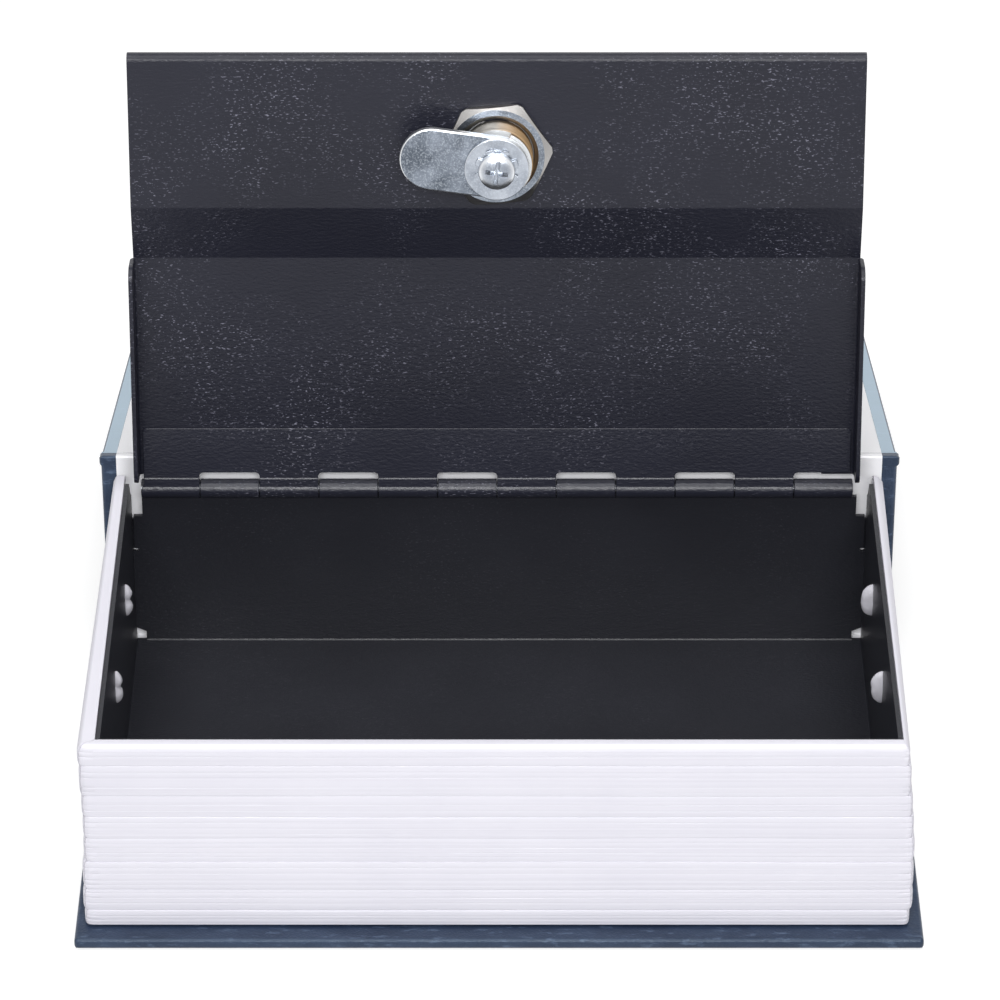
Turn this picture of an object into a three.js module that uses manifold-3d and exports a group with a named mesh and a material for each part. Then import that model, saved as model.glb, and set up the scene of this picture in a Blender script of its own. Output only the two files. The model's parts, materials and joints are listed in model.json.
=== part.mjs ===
// A book diversion safe, standing open: a cloth-covered book case holds a steel box whose
// outside is dressed with moulded page panels, and a steel lid on a piano hinge carries a cam lock.
// Millimetres, +Z up. The origin is the centre of the back cover's underside, +Y points to the spine.
import * as THREE from 'three';
import { mergeVertices } from 'three/addons/utils/BufferGeometryUtils.js';
import Module from 'manifold-3d';

const wasm = await Module();
wasm.setup();

// Driving sizes of the whole safe. Distances along y are counted from the back cover's fore-edge
const caseWidth = 180;
const caseDepth = 119.4;
const pageTop = 48.9;
const lidOpenDegrees = 99.5;
const coverOpenDegrees = 196;
const weldGap = 0.1;
const cutOverrun = 2;
const roundSegments = 32;
const smallRoundSegments = 16;
const arcSegments = 10;
const knuckleSegments = 12;
const lobeSegments = 10;
const bendSteps = 4;
const vertexGrid = 0.0005;

const half = (size) => size / 2;
const at = (distance) => distance - half(caseDepth);
const radians = THREE.MathUtils.degToRad;

// Book case: grey board, cloth and paper
const boardThickness = 1.8;
const clothThickness = 0.3;
const paperThickness = 0.2;
const glueGap = 0.05;
const coverThickness = clothThickness + glueGap + boardThickness + glueGap + clothThickness;
const coverTurnIn = 3.4;
const backTurnIn = 12;
const foreEdgeRadius = 0.9;
const boardJointGap = 0.4;
const coverRestGap = 0.3;
const coverClosedDrop = 0.6;
const creaseHeight = pageTop + coverRestGap + coverClosedDrop;
const creaseY = caseDepth - half(coverThickness);
const creaseToCoverGap = 2.1;
const spineInnerY = caseDepth - coverThickness;
const spineBoardFrontY = spineInnerY + clothThickness + glueGap;
const spineBoardTop = creaseHeight - half(coverThickness);

// Steel sheet of the box and the lid, and the knuckles of the piano hinge
const sheet = 0.9;
const hingeSheet = 0.8;
const pinRadius = 1.05;
const pinClearance = 0.3;
const barrelRadius = pinRadius + pinClearance + hingeSheet;
const hingeToSpineGap = 2;
const hingeDrop = 4.03;
const hingeY = spineInnerY - hingeToSpineGap - barrelRadius;
const hingeZ = pageTop - hingeDrop;
const hingeShiftX = -0.5;

// Page block: three moulded panels round the steel box
const coverSquare = 3.1;
const pageFrontSetback = 5;
const pageBackSetback = 0.8;
const pageSeat = 0.2;
const pageBottom = coverThickness + pageSeat;
const panelDepth = 2.7;
const panelWall = 1.1;
const panelRim = 1.2;
const panelGap = 0.1;
const panelInnerFrontY = pageFrontSetback + panelDepth;
const panelOuterHalf = half(caseWidth) - coverSquare;
const panelInnerHalf = panelOuterHalf - panelDepth;
const mitreGap = 0.15;
const blockCornerRadius = 2;
const signatureGroove = 0.45;
const signatureCrown = 0.08;
const signatureSetback = 0.6;
const signatureHeightShares = [15.5, 21, 28, 24, 21, 21, 30, 20];
const signatureSetbackShares = [1, 0.55, 0.5, 1, 0.6, 0.9, 0.35, 0];
const signatureShoulderShares = [0.2, 0.8];

// Steel box
const boxOuterHalf = panelInnerHalf - panelGap;
const boxInnerHalf = boxOuterHalf - sheet;
const boxOuterFrontY = panelInnerFrontY + panelGap;
const boxInnerFrontY = boxOuterFrontY + sheet;
const boxOuterBackY = hingeY + barrelRadius - hingeSheet - weldGap;
const boxInnerBackY = boxOuterBackY - sheet;
const pageBackY = boxInnerBackY - pageBackSetback;
const boxSeat = 0.15;
const boxFloorBottom = coverThickness + boxSeat;
const boxFloorTop = boxFloorBottom + sheet;
const boxTopDrop = 0.6;
const boxTop = pageTop - boxTopDrop;
const wallToBarrelGap = 0.32;
const backWallTop = hingeZ - barrelRadius - wallToBarrelGap;
const outerBend = 1.4;
const cornerNotchWidth = 2.4;
const cornerNotchDepth = 5.2;
const wallCornerRun = 4;
const seamWidth = 0.35;
const seamDepth = 9;
const seamHoleRadius = 0.6;
const reliefWidth = 2.2;
const reliefHeight = 3.4;
const reliefSlope = 1;

// Heat-staked pegs that hold the page panels to the box
const pegPitchShare = 0.33;
const pegPitch = (boxInnerBackY - boxInnerFrontY) * pegPitchShare;
const pegFromFront = 9.5;
const pegsPerSide = 3;
const pegDrop = 17.4;
const pegHeight = pageTop - pegDrop;
const pegStemRadius = 1.5;
const pegHoleClearance = 0.35;
const pegHeadDepth = 1.5;
const pegHeadWidth = 3.2;
const pegLobeHeight = 4.2;
const pegLobeSpacing = 3.2;
const pegFrontShares = [-0.72, 0.72];

// Steel lid, with its sunk lock shelf. It is as long and as wide as the box leaves room for
const lidSideGap = 2;
const lidFrontGap = 0.35;
const lidWidth = (boxInnerHalf - lidSideGap) * 2;
const lidShelfInset = 0.7;
const lidShelfWidth = lidWidth - lidShelfInset * 2;
const lidStart = 4.4;
const lidLength = hingeY - boxInnerFrontY - lidFrontGap;
const shelfLength = 35;
const stepRun = 12.9;
const stepEnd = lidLength - shelfLength;
const stepStart = stepEnd - stepRun;
const stepDepth = 3.6;
const lidBend = 1.1;
const foreFlangeHeight = 2.4;
const sideFlangeDepth = 7.7;
const sideFlangeStart = 4;
const sideFlangeInset = 0.3;
const sideFlangeEnd = stepStart - sideFlangeInset;
const sideFlangeRadius = 3;
const lidInnerN = pinRadius + pinClearance - weldGap;
const lidOuterN = lidInnerN - sheet;
const shelfInnerN = lidInnerN + stepDepth;
const shelfOuterN = shelfInnerN - sheet;

// Leaves of the piano hinge
const hingeLength = lidWidth - sheet * 2;
const knuckleCount = 12;
const knucklePitch = hingeLength / knuckleCount;
const knuckleGap = 0.3;
const lidLeafLength = 15.2;
const boxLeafLength = 14.4;
const leafNotchReach = 4.5;
const leafCornerRadius = 1;
const leafEndTrim = 0.8;

// Cam lock
const lockFromForeEdge = 22.65;
const lockClearance = 0.3;
const stackGap = 0.1;
const housingHeadRadius = 10;
const housingHeadThickness = 2;
const housingRadius = 7.9;
const housingFlatWidth = 14.6;
const housingLength = 6;
const plugRadius = 5.7;
const nutSides = 6;
const nutAcrossFlats = 22;
const nutThickness = 2.6;
const nutTurnDegrees = -5;
const nutChamfer = 0.6;
const stopLugThickness = 1.1;
const stopDiscRadius = 6.2;
const stopLobeRadius = 7.5;
const stopLobeHalfDegrees = 20;
const stopSlackDegrees = 4;
const lockTurnDegrees = 90;
const camOpenDegrees = 180;
const lockRestDegrees = 8;
const fullTurnDegrees = 360;
const tailRadius = 3.9;
const tailFlatWidth = 5.8;
const camThickness = 2;
const camWidth = 14;
const camTipInset = 1.35;
const camWasherRadius = 7;
const camWasherThickness = 0.8;
const starRadius = 4.6;
const starToothDepth = 0.7;
const starTeeth = 10;
const starToothShare = 0.3;
const starGapShare = 0.2;
const starThickness = 0.5;
const screwHeadRadius = 4;
const screwHeadHeight = 2;
const screwDomeShares = [[1, 0.45], [0.88, 0.78], [0.6, 0.96]];
const screwRadius = 2;
const screwEndClearance = 0.6;
const driveWidth = 1;
const driveLength = 4.6;
const driveDepth = 1.3;

// Plug, wafers and their springs
const keywayWidth = 2.2;
const keywayHeight = 7.8;
const keywayEndWall = 0.7;
const waferCount = 4;
const waferPitch = 1.7;
const waferFirst = 1.3;
const waferThickness = 0.8;
const waferSlot = 1.2;
const waferWidth = 5;
const waferHeight = 9.6;
const waferSideClearance = 0.3;
const waferWindowWidth = 2.4;
const waferWindowHeight = 6.4;
const waferEar = 1.5;
const waferEarHeight = 1;
const waferEarBase = 1.6;
const springRadius = 0.4;
const springPocketHalf = 3.1;
const springClearance = 0.15;

// Strike that the cam hooks under
const strikeWidth = 32;
const strikeReach = 6;
const strikeLegHeight = 5.4;
const strikeCamGap = 0.4;
const strikeBend = 1;

// The lock's stack along its axis: n counts from the hinge pin's plane into the safe
const lockAlong = lidLength - lockFromForeEdge;
const camReach = lockFromForeEdge - camTipInset;
const headOuterN = shelfOuterN - housingHeadThickness - stackGap;
const housingEndN = shelfInnerN + housingLength;
const stopStartN = housingEndN + lockClearance;
const stopEndN = stopStartN + stopLugThickness;
const camStartN = stopEndN + stackGap;
const camEndN = camStartN + camThickness;
const camWasherStartN = camEndN + stackGap;
const camWasherEndN = camWasherStartN + camWasherThickness;
const starStartN = camWasherEndN + stackGap;
const starEndN = starStartN + starThickness;
const screwHeadStartN = starEndN + stackGap;
const keywayEndN = headOuterN + waferFirst + waferPitch * (waferCount - 1) + waferSlot;
const threadEndN = keywayEndN + keywayEndWall;
const screwEndN = threadEndN + screwEndClearance;
const camClosedTop = hingeZ - camStartN;

const finish = {
  cloth: { color: 0x5a6d85, roughness: 0.75, metalness: 0 },
  board: { color: 0x8c8a84, roughness: 0.95, metalness: 0 },
  paper: { color: 0xefedf5, roughness: 0.85, metalness: 0 },
  plastic: { color: 0xeeecf3, roughness: 0.5, metalness: 0 },
  coat: { color: 0x2f3036, roughness: 0.55, metalness: 0 },
  zinc: { color: 0xb9bec4, roughness: 0.3, metalness: 1 },
  brass: { color: 0xc9a55e, roughness: 0.35, metalness: 1 },
  steel: { color: 0x9a9ca0, roughness: 0.35, metalness: 1 },
};

// Small tools that turn three.js shapes into solids that can be joined and cut. Corners are
// snapped to a fine grid, so that faces meant to lie in one plane do

function solidOf(geometry) {
  const bare = geometry.clone();
  bare.deleteAttribute('normal');
  bare.deleteAttribute('uv');
  const merged = mergeVertices(bare);
  const snapped = merged.attributes.position.array.map((v) => Math.round(v / vertexGrid) * vertexGrid);
  const vertProperties = new Float32Array(snapped);
  const triVerts = new Uint32Array(merged.index.array);
  return new wasm.Manifold(new wasm.Mesh({ numProp: 3, vertProperties, triVerts }));
}

function geometryOf(solid) {
  const mesh = solid.getMesh();
  const geometry = new THREE.BufferGeometry();
  geometry.setAttribute('position', new THREE.BufferAttribute(new Float32Array(mesh.vertProperties), 3));
  geometry.setIndex(new THREE.BufferAttribute(new Uint32Array(mesh.triVerts), 1));
  geometry.computeVertexNormals();
  return geometry;
}

function meshOf(name, solid, look) {
  const mesh = new THREE.Mesh(geometryOf(solid), new THREE.MeshStandardMaterial(look));
  mesh.name = name;
  return mesh;
}

function joined(solids) {
  return solids.reduce((whole, next) => whole.add(next));
}

function without(solid, cutters) {
  return cutters.reduce((whole, cutter) => whole.subtract(cutter), solid);
}

function block([x0, y0, z0], [x1, y1, z1]) {
  const geometry = new THREE.BoxGeometry(x1 - x0, y1 - y0, z1 - z0);
  geometry.translate((x0 + x1) / 2, (y0 + y1) / 2, (z0 + z1) / 2);
  return solidOf(geometry);
}

function shapeOf(points) {
  return new THREE.Shape(points.map(([u, v]) => new THREE.Vector2(u, v)));
}

function drawnOut(shape, depth, curveSegments) {
  return new THREE.ExtrudeGeometry(shape, { depth, bevelEnabled: false, curveSegments });
}

// An outline in (y, z), drawn out along X
function alongX(shape, x0, x1) {
  const geometry = drawnOut(shape, x1 - x0, bendSteps);
  const turn = new THREE.Matrix4().makeBasis(
    new THREE.Vector3(0, 1, 0), new THREE.Vector3(0, 0, 1), new THREE.Vector3(1, 0, 0));
  geometry.applyMatrix4(turn);
  geometry.translate(x0, 0, 0);
  return solidOf(geometry);
}

// An outline in (x, z), drawn out along Y
function alongY(shape, y0, y1) {
  const geometry = drawnOut(shape, y1 - y0, bendSteps);
  const turn = new THREE.Matrix4().makeBasis(
    new THREE.Vector3(1, 0, 0), new THREE.Vector3(0, 0, 1), new THREE.Vector3(0, -1, 0));
  geometry.applyMatrix4(turn);
  geometry.translate(0, y1, 0);
  return solidOf(geometry);
}

// An outline in (x, y), drawn out along Z
function alongZ(shape, z0, z1, curveSegments = arcSegments) {
  const geometry = drawnOut(shape, z1 - z0, curveSegments);
  geometry.translate(0, 0, z0);
  return solidOf(geometry);
}

function rod(radius, [x0, y0, z0], direction, length, segments = roundSegments) {
  const geometry = new THREE.CylinderGeometry(radius, radius, length, segments);
  const turn = new THREE.Quaternion().setFromUnitVectors(new THREE.Vector3(0, 1, 0), direction);
  geometry.translate(0, length / 2, 0);
  geometry.applyQuaternion(turn);
  geometry.translate(x0, y0, z0);
  return solidOf(geometry);
}

const towardX = new THREE.Vector3(1, 0, 0);
const towardY = new THREE.Vector3(0, 1, 0);
const towardZ = new THREE.Vector3(0, 0, 1);

// The outline of bent sheet metal: a mid-line of straight runs, rounded at its corners
function sheetOutline(corners, thickness, bend) {
  const line = corners.map(([u, v]) => new THREE.Vector2(u, v));
  const left = [];
  const right = [];
  const mark = (point, heading) => {
    const side = new THREE.Vector2(-heading.y, heading.x).multiplyScalar(half(thickness));
    left.push(point.clone().add(side));
    right.push(point.clone().sub(side));
  };
  line.forEach((corner, i) => {
    const before = i > 0 ? corner.clone().sub(line[i - 1]).normalize() : null;
    const after = i < line.length - 1 ? line[i + 1].clone().sub(corner).normalize() : null;
    if (!before || !after) {
      mark(corner, before || after);
      return;
    }
    const turn = before.angleTo(after) * Math.sign(before.cross(after));
    const reach = bend * Math.tan(Math.abs(turn) / 2);
    const start = corner.clone().addScaledVector(before, -reach);
    const inward = new THREE.Vector2(-before.y, before.x).multiplyScalar(Math.sign(turn) * bend);
    const centre = start.clone().add(inward);
    for (let k = 0; k <= bendSteps; k += 1) {
      const angle = (turn * k) / bendSteps;
      const point = start.clone().rotateAround(centre, angle);
      mark(point, before.clone().rotateAround(new THREE.Vector2(), angle));
    }
  });
  return new THREE.Shape([...left, ...right.reverse()]);
}

// A rectangle with its lower corners, or all four, rounded
function roundedRectangle(u0, u1, v0, v1, radius, roundTop = true) {
  const shape = new THREE.Shape();
  shape.moveTo(u0 + radius, v0);
  shape.lineTo(u1 - radius, v0);
  shape.absarc(u1 - radius, v0 + radius, radius, -Math.PI / 2, 0);
  if (roundTop) {
    shape.absarc(u1 - radius, v1 - radius, radius, 0, Math.PI / 2);
    shape.absarc(u0 + radius, v1 - radius, radius, Math.PI / 2, Math.PI);
  } else {
    shape.lineTo(u1, v1);
    shape.lineTo(u0, v1);
  }
  shape.absarc(u0 + radius, v0 + radius, radius, Math.PI, Math.PI * 1.5);
  return shape;
}

// Book case

function backBoard() {
  const edge = clothThickness + glueGap;
  return block([-half(caseWidth) + edge, at(edge), edge],
    [half(caseWidth) - edge, at(spineBoardFrontY - boardJointGap), edge + boardThickness]);
}

function spineBoard() {
  const edge = clothThickness + glueGap;
  return block([-half(caseWidth) + edge, at(spineBoardFrontY), edge],
    [half(caseWidth) - edge, at(caseDepth - edge), spineBoardTop]);
}

// The cloth of the back cover and the spine, one sheet folded round both boards
function backCovering() {
  const profile = new THREE.Shape();
  profile.moveTo(at(foreEdgeRadius), 0);
  profile.lineTo(at(caseDepth - foreEdgeRadius), 0);
  profile.absarc(at(caseDepth - foreEdgeRadius), foreEdgeRadius, foreEdgeRadius, -Math.PI / 2, 0);
  profile.absarc(at(creaseY), creaseHeight, half(coverThickness), 0, Math.PI);
  profile.lineTo(at(spineInnerY), coverThickness);
  profile.lineTo(at(foreEdgeRadius), coverThickness);
  profile.absarc(at(foreEdgeRadius), coverThickness - foreEdgeRadius, foreEdgeRadius, Math.PI / 2, Math.PI);
  profile.absarc(at(foreEdgeRadius), foreEdgeRadius, foreEdgeRadius, Math.PI, Math.PI * 1.5);
  const skin = alongX(profile, -half(caseWidth), half(caseWidth));
  const halfPocket = half(caseWidth) - clothThickness;
  const upper = coverThickness - clothThickness;
  const backPocket = block([-halfPocket, at(clothThickness), clothThickness],
    [halfPocket, at(caseDepth - clothThickness), upper]);
  const spinePocket = block([-halfPocket, at(spineInnerY + clothThickness), clothThickness],
    [halfPocket, at(caseDepth - clothThickness), spineBoardTop + glueGap]);
  const backWindow = block([-half(caseWidth) + backTurnIn, at(backTurnIn), upper - glueGap],
    [half(caseWidth) - backTurnIn, at(spineInnerY - coverTurnIn), coverThickness + cutOverrun]);
  const halfWindow = half(caseWidth) - coverTurnIn;
  const spineWindow = block([-halfWindow, at(spineInnerY - cutOverrun), coverThickness + coverTurnIn],
    [halfWindow, at(spineBoardFrontY), spineBoardTop - coverTurnIn]);
  return without(skin, [backPocket, spinePocket, backWindow, spineWindow]);
}

function backEndpaper() {
  const low = coverThickness - clothThickness;
  const halfPaper = half(caseWidth) - backTurnIn - glueGap;
  return block([-halfPaper, at(backTurnIn + glueGap), low],
    [halfPaper, at(spineInnerY - coverTurnIn - glueGap), low + paperThickness]);
}

function spineLining() {
  const face = spineInnerY + clothThickness;
  const halfPaper = half(caseWidth) - coverTurnIn - glueGap;
  return block([-halfPaper, at(face - paperThickness), coverThickness + coverTurnIn + glueGap],
    [halfPaper, at(face), spineBoardTop - coverTurnIn - glueGap]);
}

// The front cover is drawn closed, about the crease that it turns on: y runs to the spine, z up
const coverFar = -creaseY;
const coverNear = -creaseToCoverGap;
const coverLow = -coverClosedDrop;
const coverHigh = coverLow + coverThickness;

function frontBoard() {
  const edge = clothThickness + glueGap;
  return block([-half(caseWidth) + edge, coverFar + edge, coverLow + edge],
    [half(caseWidth) - edge, coverNear - edge, coverHigh - edge]);
}

function frontCovering() {
  const profile = new THREE.Shape();
  const r = foreEdgeRadius;
  profile.moveTo(coverFar + r, coverLow);
  profile.lineTo(coverNear, coverLow);
  profile.lineTo(coverNear, coverHigh);
  profile.lineTo(coverFar + r, coverHigh);
  profile.absarc(coverFar + r, coverHigh - r, r, Math.PI / 2, Math.PI);
  profile.absarc(coverFar + r, coverLow + r, r, Math.PI, Math.PI * 1.5);
  const skin = alongX(profile, -half(caseWidth), half(caseWidth));
  const halfPocket = half(caseWidth) - clothThickness;
  const halfWindow = half(caseWidth) - coverTurnIn;
  const pocket = block([-halfPocket, coverFar + clothThickness, coverLow + clothThickness],
    [halfPocket, coverNear - clothThickness, coverHigh - clothThickness]);
  const window = block([-halfWindow, coverFar + coverTurnIn, coverLow - cutOverrun],
    [halfWindow, coverNear - coverTurnIn, coverLow + clothThickness + glueGap]);
  return without(skin, [pocket, window]);
}

function frontEndpaper() {
  const high = coverLow + clothThickness;
  const edge = coverTurnIn + glueGap;
  return block([-half(caseWidth) + edge, coverFar + edge, high - paperThickness],
    [half(caseWidth) - edge, coverNear - edge, high]);
}

// Page block

// The section of a page panel: signatures bulge on its outside, and it is hollow behind
function panelSection(place) {
  const points = [[0, pageBottom]];
  const unit = (pageTop - pageBottom) / signatureHeightShares.reduce((sum, share) => sum + share);
  let low = pageBottom;
  signatureHeightShares.forEach((share, i) => {
    const tall = share * unit;
    const face = panelDepth - signatureSetbackShares[i] * signatureSetback;
    points.push([face - signatureGroove, low]);
    points.push([face - signatureCrown, low + tall * signatureShoulderShares[0]]);
    points.push([face, low + half(tall)]);
    points.push([face - signatureCrown, low + tall * signatureShoulderShares[1]]);
    low += tall;
  });
  const hollow = panelDepth - signatureSetback - signatureGroove - panelWall;
  points.push([panelDepth - signatureGroove, pageTop]);
  points.push([0, pageTop]);
  points.push([0, pageTop - panelRim]);
  points.push([hollow, pageTop - panelRim]);
  points.push([hollow, pageBottom + panelRim]);
  points.push([0, pageBottom + panelRim]);
  return shapeOf(points.map(([out, z]) => [place(out), z]));
}

function pageBlockOutline() {
  const y0 = at(pageFrontSetback);
  const y1 = at(pageBackY);
  const shape = roundedRectangle(-panelOuterHalf, panelOuterHalf, y0, y1, blockCornerRadius, false);
  return alongZ(shape, pageBottom - cutOverrun, pageTop + cutOverrun);
}

// A peg through the box wall, its melted head in two lobes on the inside of the box
function peg(x, y, inward) {
  const foot = panelDepth - panelWall + panelGap + sheet;
  const middle = new THREE.Vector3(x, y, pegHeight);
  const base = middle.clone().addScaledVector(inward, -foot);
  const length = foot + pegHeadDepth - pegHoleClearance;
  const stem = rod(pegStemRadius, base.toArray(), inward, length, smallRoundSegments);
  const lobes = [-1, 1].map((side) => pegLobe(x, y, pegHeight + side * half(pegLobeSpacing), inward));
  const from = middle.clone().addScaledVector(inward, pegHoleClearance);
  const to = middle.clone().addScaledVector(inward, pegHeadDepth + pegHoleClearance);
  const spread = new THREE.Vector3(Math.abs(inward.y), Math.abs(inward.x), 0).multiplyScalar(pegHeadWidth);
  spread.z = pegLobeHeight + pegLobeSpacing;
  const low = from.clone().min(to).sub(spread);
  const high = from.clone().max(to).add(spread);
  const head = joined(lobes).intersect(block(low.toArray(), high.toArray()));
  return stem.add(head);
}

function pegLobe(x, y, z, inward) {
  const radius = half(pegLobeHeight);
  const ball = new THREE.SphereGeometry(radius, lobeSegments, lobeSegments / 2);
  const deep = pegHeadDepth / radius;
  const wide = half(pegHeadWidth) / radius;
  const across = Math.abs(inward.x) > 0;
  ball.scale(across ? deep : wide, across ? wide : deep, 1);
  ball.translate(x, y, z);
  return solidOf(ball);
}

function pegPlaces() {
  return Array.from({ length: pegsPerSide }, (_, i) => at(boxInnerFrontY + pegFromFront + i * pegPitch));
}

function pageFront() {
  const section = panelSection((out) => at(panelInnerFrontY) - out);
  const long = alongX(section, -panelOuterHalf, panelOuterHalf);
  const y0 = at(pageFrontSetback);
  const plan = shapeOf([
    [-panelOuterHalf + mitreGap, y0], [panelOuterHalf - mitreGap, y0],
    [panelInnerHalf - mitreGap, at(panelInnerFrontY)], [-panelInnerHalf + mitreGap, at(panelInnerFrontY)],
  ]);
  const cut = alongZ(plan, pageBottom - cutOverrun, pageTop + cutOverrun);
  const pegs = pegFrontShares.map((share) => peg(share * boxInnerHalf, at(boxInnerFrontY), towardY));
  return joined([long.intersect(cut).intersect(pageBlockOutline()), ...pegs]);
}

function pageSide(side) {
  const section = panelSection((out) => side * (panelInnerHalf + out));
  const y0 = at(pageFrontSetback);
  const long = alongY(section, y0, at(pageBackY));
  const plan = shapeOf([
    [side * (panelInnerHalf + mitreGap), at(panelInnerFrontY)], [side * (panelOuterHalf + mitreGap), y0],
    [side * (panelOuterHalf + mitreGap), at(pageBackY)], [side * panelInnerHalf, at(pageBackY)],
    [side * panelInnerHalf, at(panelInnerFrontY + mitreGap)],
  ]);
  const cut = alongZ(plan, pageBottom - cutOverrun, pageTop + cutOverrun);
  const inward = towardX.clone().multiplyScalar(-side);
  const pegs = pegPlaces().map((y) => peg(side * boxInnerHalf, y, inward));
  return joined([long.intersect(cut).intersect(pageBlockOutline()), ...pegs]);
}

// Steel box

// A tray block with its bottom edges rounded all round
function trayBlock(halfWidth, y0, y1, z0, z1, radius) {
  const across = alongY(roundedRectangle(-halfWidth, halfWidth, z0, z1, radius, false), y0, y1);
  const length = alongX(roundedRectangle(y0, y1, z0, z1, radius, false), -halfWidth, halfWidth);
  return across.intersect(length);
}

function boxShell() {
  const inner = boxInnerHalf;
  const front = at(boxInnerFrontY);
  const back = at(boxInnerBackY);
  const openTop = boxTop + cutOverrun;
  const outside = trayBlock(
    boxOuterHalf, at(boxOuterFrontY), at(boxOuterBackY), boxFloorBottom, boxTop, outerBend);
  const inside = trayBlock(inner, front, back, boxFloorTop, openTop, outerBend - sheet);
  const backCut = block([-inner, back - cutOverrun, backWallTop], [inner, back + cutOverrun, openTop]);
  const holeRadius = pegStemRadius + pegHoleClearance;
  const across = (boxOuterHalf + cutOverrun) * 2;
  const sideHoles = pegPlaces().map((y) => rod(
    holeRadius, [-half(across), y, pegHeight], towardX, across, smallRoundSegments));
  const through = sheet + cutOverrun * 2;
  const frontHoles = pegFrontShares.map((share) => rod(
    holeRadius, [share * inner, front - through, pegHeight], towardY, through, smallRoundSegments));
  const corners = [-1, 1].flatMap((side) => cornerCuts(side, inner, back));
  // The side walls slope down to the back wall behind the lid's flanges
  const behind = back + sheet + cutOverrun;
  const slope = alongX(shapeOf([
    [back - wallCornerRun, boxTop], [back, backWallTop], [behind, backWallTop],
    [behind, openTop], [back - wallCornerRun, openTop],
  ]), -half(across), half(across));
  return without(outside, [inside, backCut, slope, ...sideHoles, ...frontHoles, ...corners]);
}

// The open corners of the folded back wall: a notch above, then a seam with its end hole, and a
// bend relief at the floor
function cornerCuts(side, inner, back) {
  const y0 = back - seamWidth;
  const y1 = back + sheet + cutOverrun;
  const seamTop = backWallTop - cornerNotchDepth;
  const strip = (width, z0, z1) => {
    const edges = [side * inner, side * (inner - width)];
    return block([Math.min(...edges), y0, z0], [Math.max(...edges), y1, z1]);
  };
  const notch = strip(cornerNotchWidth, seamTop, backWallTop + cutOverrun);
  const seam = strip(seamWidth, seamTop - seamDepth, seamTop + seamWidth);
  const centre = [side * (inner - seamHoleRadius), back - cutOverrun, seamTop - seamDepth];
  const hole = rod(seamHoleRadius, centre, towardY, sheet + cutOverrun * 2, smallRoundSegments);
  const z0 = boxFloorTop;
  const relief = alongY(shapeOf([
    [side * inner, z0], [side * (inner - reliefWidth), z0],
    [side * (inner - reliefWidth), z0 + reliefHeight - reliefSlope], [side * inner, z0 + reliefHeight],
  ]), y0, y1);
  return [notch, seam, hole, relief];
}

function strikeBracket() {
  const low = camClosedTop + strikeCamGap + half(sheet);
  const wall = at(boxInnerFrontY + weldGap + half(sheet));
  const outline = sheetOutline([
    [wall + strikeReach, low], [wall, low], [wall, low + strikeLegHeight],
  ], sheet, strikeBend);
  return alongX(outline, hingeShiftX - half(strikeWidth), hingeShiftX + half(strikeWidth));
}

// Piano hinge

// Knuckles of one leaf: every second one, starting at `first`, drawn round the pin at (0, 0)
function knuckles(first) {
  const ring = new THREE.Shape();
  ring.absarc(0, 0, barrelRadius, 0, Math.PI * 2);
  const bore = new THREE.Path();
  bore.absarc(0, 0, pinRadius + pinClearance, 0, Math.PI * 2);
  ring.holes.push(bore);
  const pieces = [];
  for (let i = first; i < knuckleCount; i += 2) {
    const geometry = drawnOut(ring, knucklePitch - knuckleGap, knuckleSegments);
    geometry.rotateY(Math.PI / 2);
    geometry.translate(-half(hingeLength) + i * knucklePitch + half(knuckleGap), 0, 0);
    pieces.push(solidOf(geometry));
  }
  return joined(pieces);
}

// A leaf's outline: x along the pin, and the second coordinate away from it, with round free corners
function leafOutline(length) {
  const side = half(hingeLength) - leafEndTrim;
  return roundedRectangle(-side, side, -length, 0, leafCornerRadius, false);
}

// What is cut from a leaf, from knuckle number `first` on, to let the other leaf's knuckles through
function leafNotches(first) {
  const shapes = [];
  for (let i = first; i < knuckleCount; i += 2) {
    const x0 = -half(hingeLength) + i * knucklePitch - half(knuckleGap);
    const x1 = x0 + knucklePitch + knuckleGap;
    shapes.push(roundedRectangle(x0, x1, -leafNotchReach, barrelRadius, leafCornerRadius, false));
  }
  return shapes;
}

// The lid's leaf, closed: it runs toward -y under the pin's level
function hingeLidLeaf() {
  const inner = -barrelRadius;
  const outer = inner + hingeSheet;
  const leaf = alongZ(leafOutline(lidLeafLength), inner, outer, bendSteps);
  const cutters = leafNotches(1).map(
    (shape) => alongZ(shape, inner - cutOverrun, outer + cutOverrun, bendSteps));
  return without(leaf, cutters).add(knuckles(0));
}

// The box's leaf hangs down behind the back wall
function hingeBoxLeaf() {
  const outer = barrelRadius;
  const inner = outer - hingeSheet;
  const leaf = alongY(leafOutline(boxLeafLength), inner, outer);
  const cutters = leafNotches(0).map((shape) => alongY(shape, inner - cutOverrun, outer + cutOverrun));
  return without(leaf, cutters).add(knuckles(1));
}

function hingePin() {
  return rod(pinRadius, [-half(hingeLength), 0, 0], towardX, hingeLength, smallRoundSegments);
}

// Lid, drawn closed about the pin: y runs to the spine, z up, and the inside of the safe is at -z

function lidPanel() {
  const mid = half(sheet);
  const main = -lidOuterN - mid;
  const shelf = -shelfOuterN - mid;
  const outline = sheetOutline([
    [-lidStart, main], [-stepStart, main], [-stepEnd, shelf],
    [-lidLength + mid, shelf], [-lidLength + mid, -shelfInnerN + foreFlangeHeight],
  ], sheet, lidBend);
  const plate = alongX(outline, -half(lidShelfWidth), half(lidShelfWidth));
  const flanges = [-1, 1].map((side) => sideFlange(side));
  const neck = doubleD(housingRadius + lockClearance, housingFlatWidth + lockClearance * 2, -lockAlong);
  const hole = alongZ(neck, -shelfInnerN - cutOverrun, -shelfOuterN + cutOverrun);
  return without(joined([plate, ...flanges]), [hole]);
}

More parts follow.
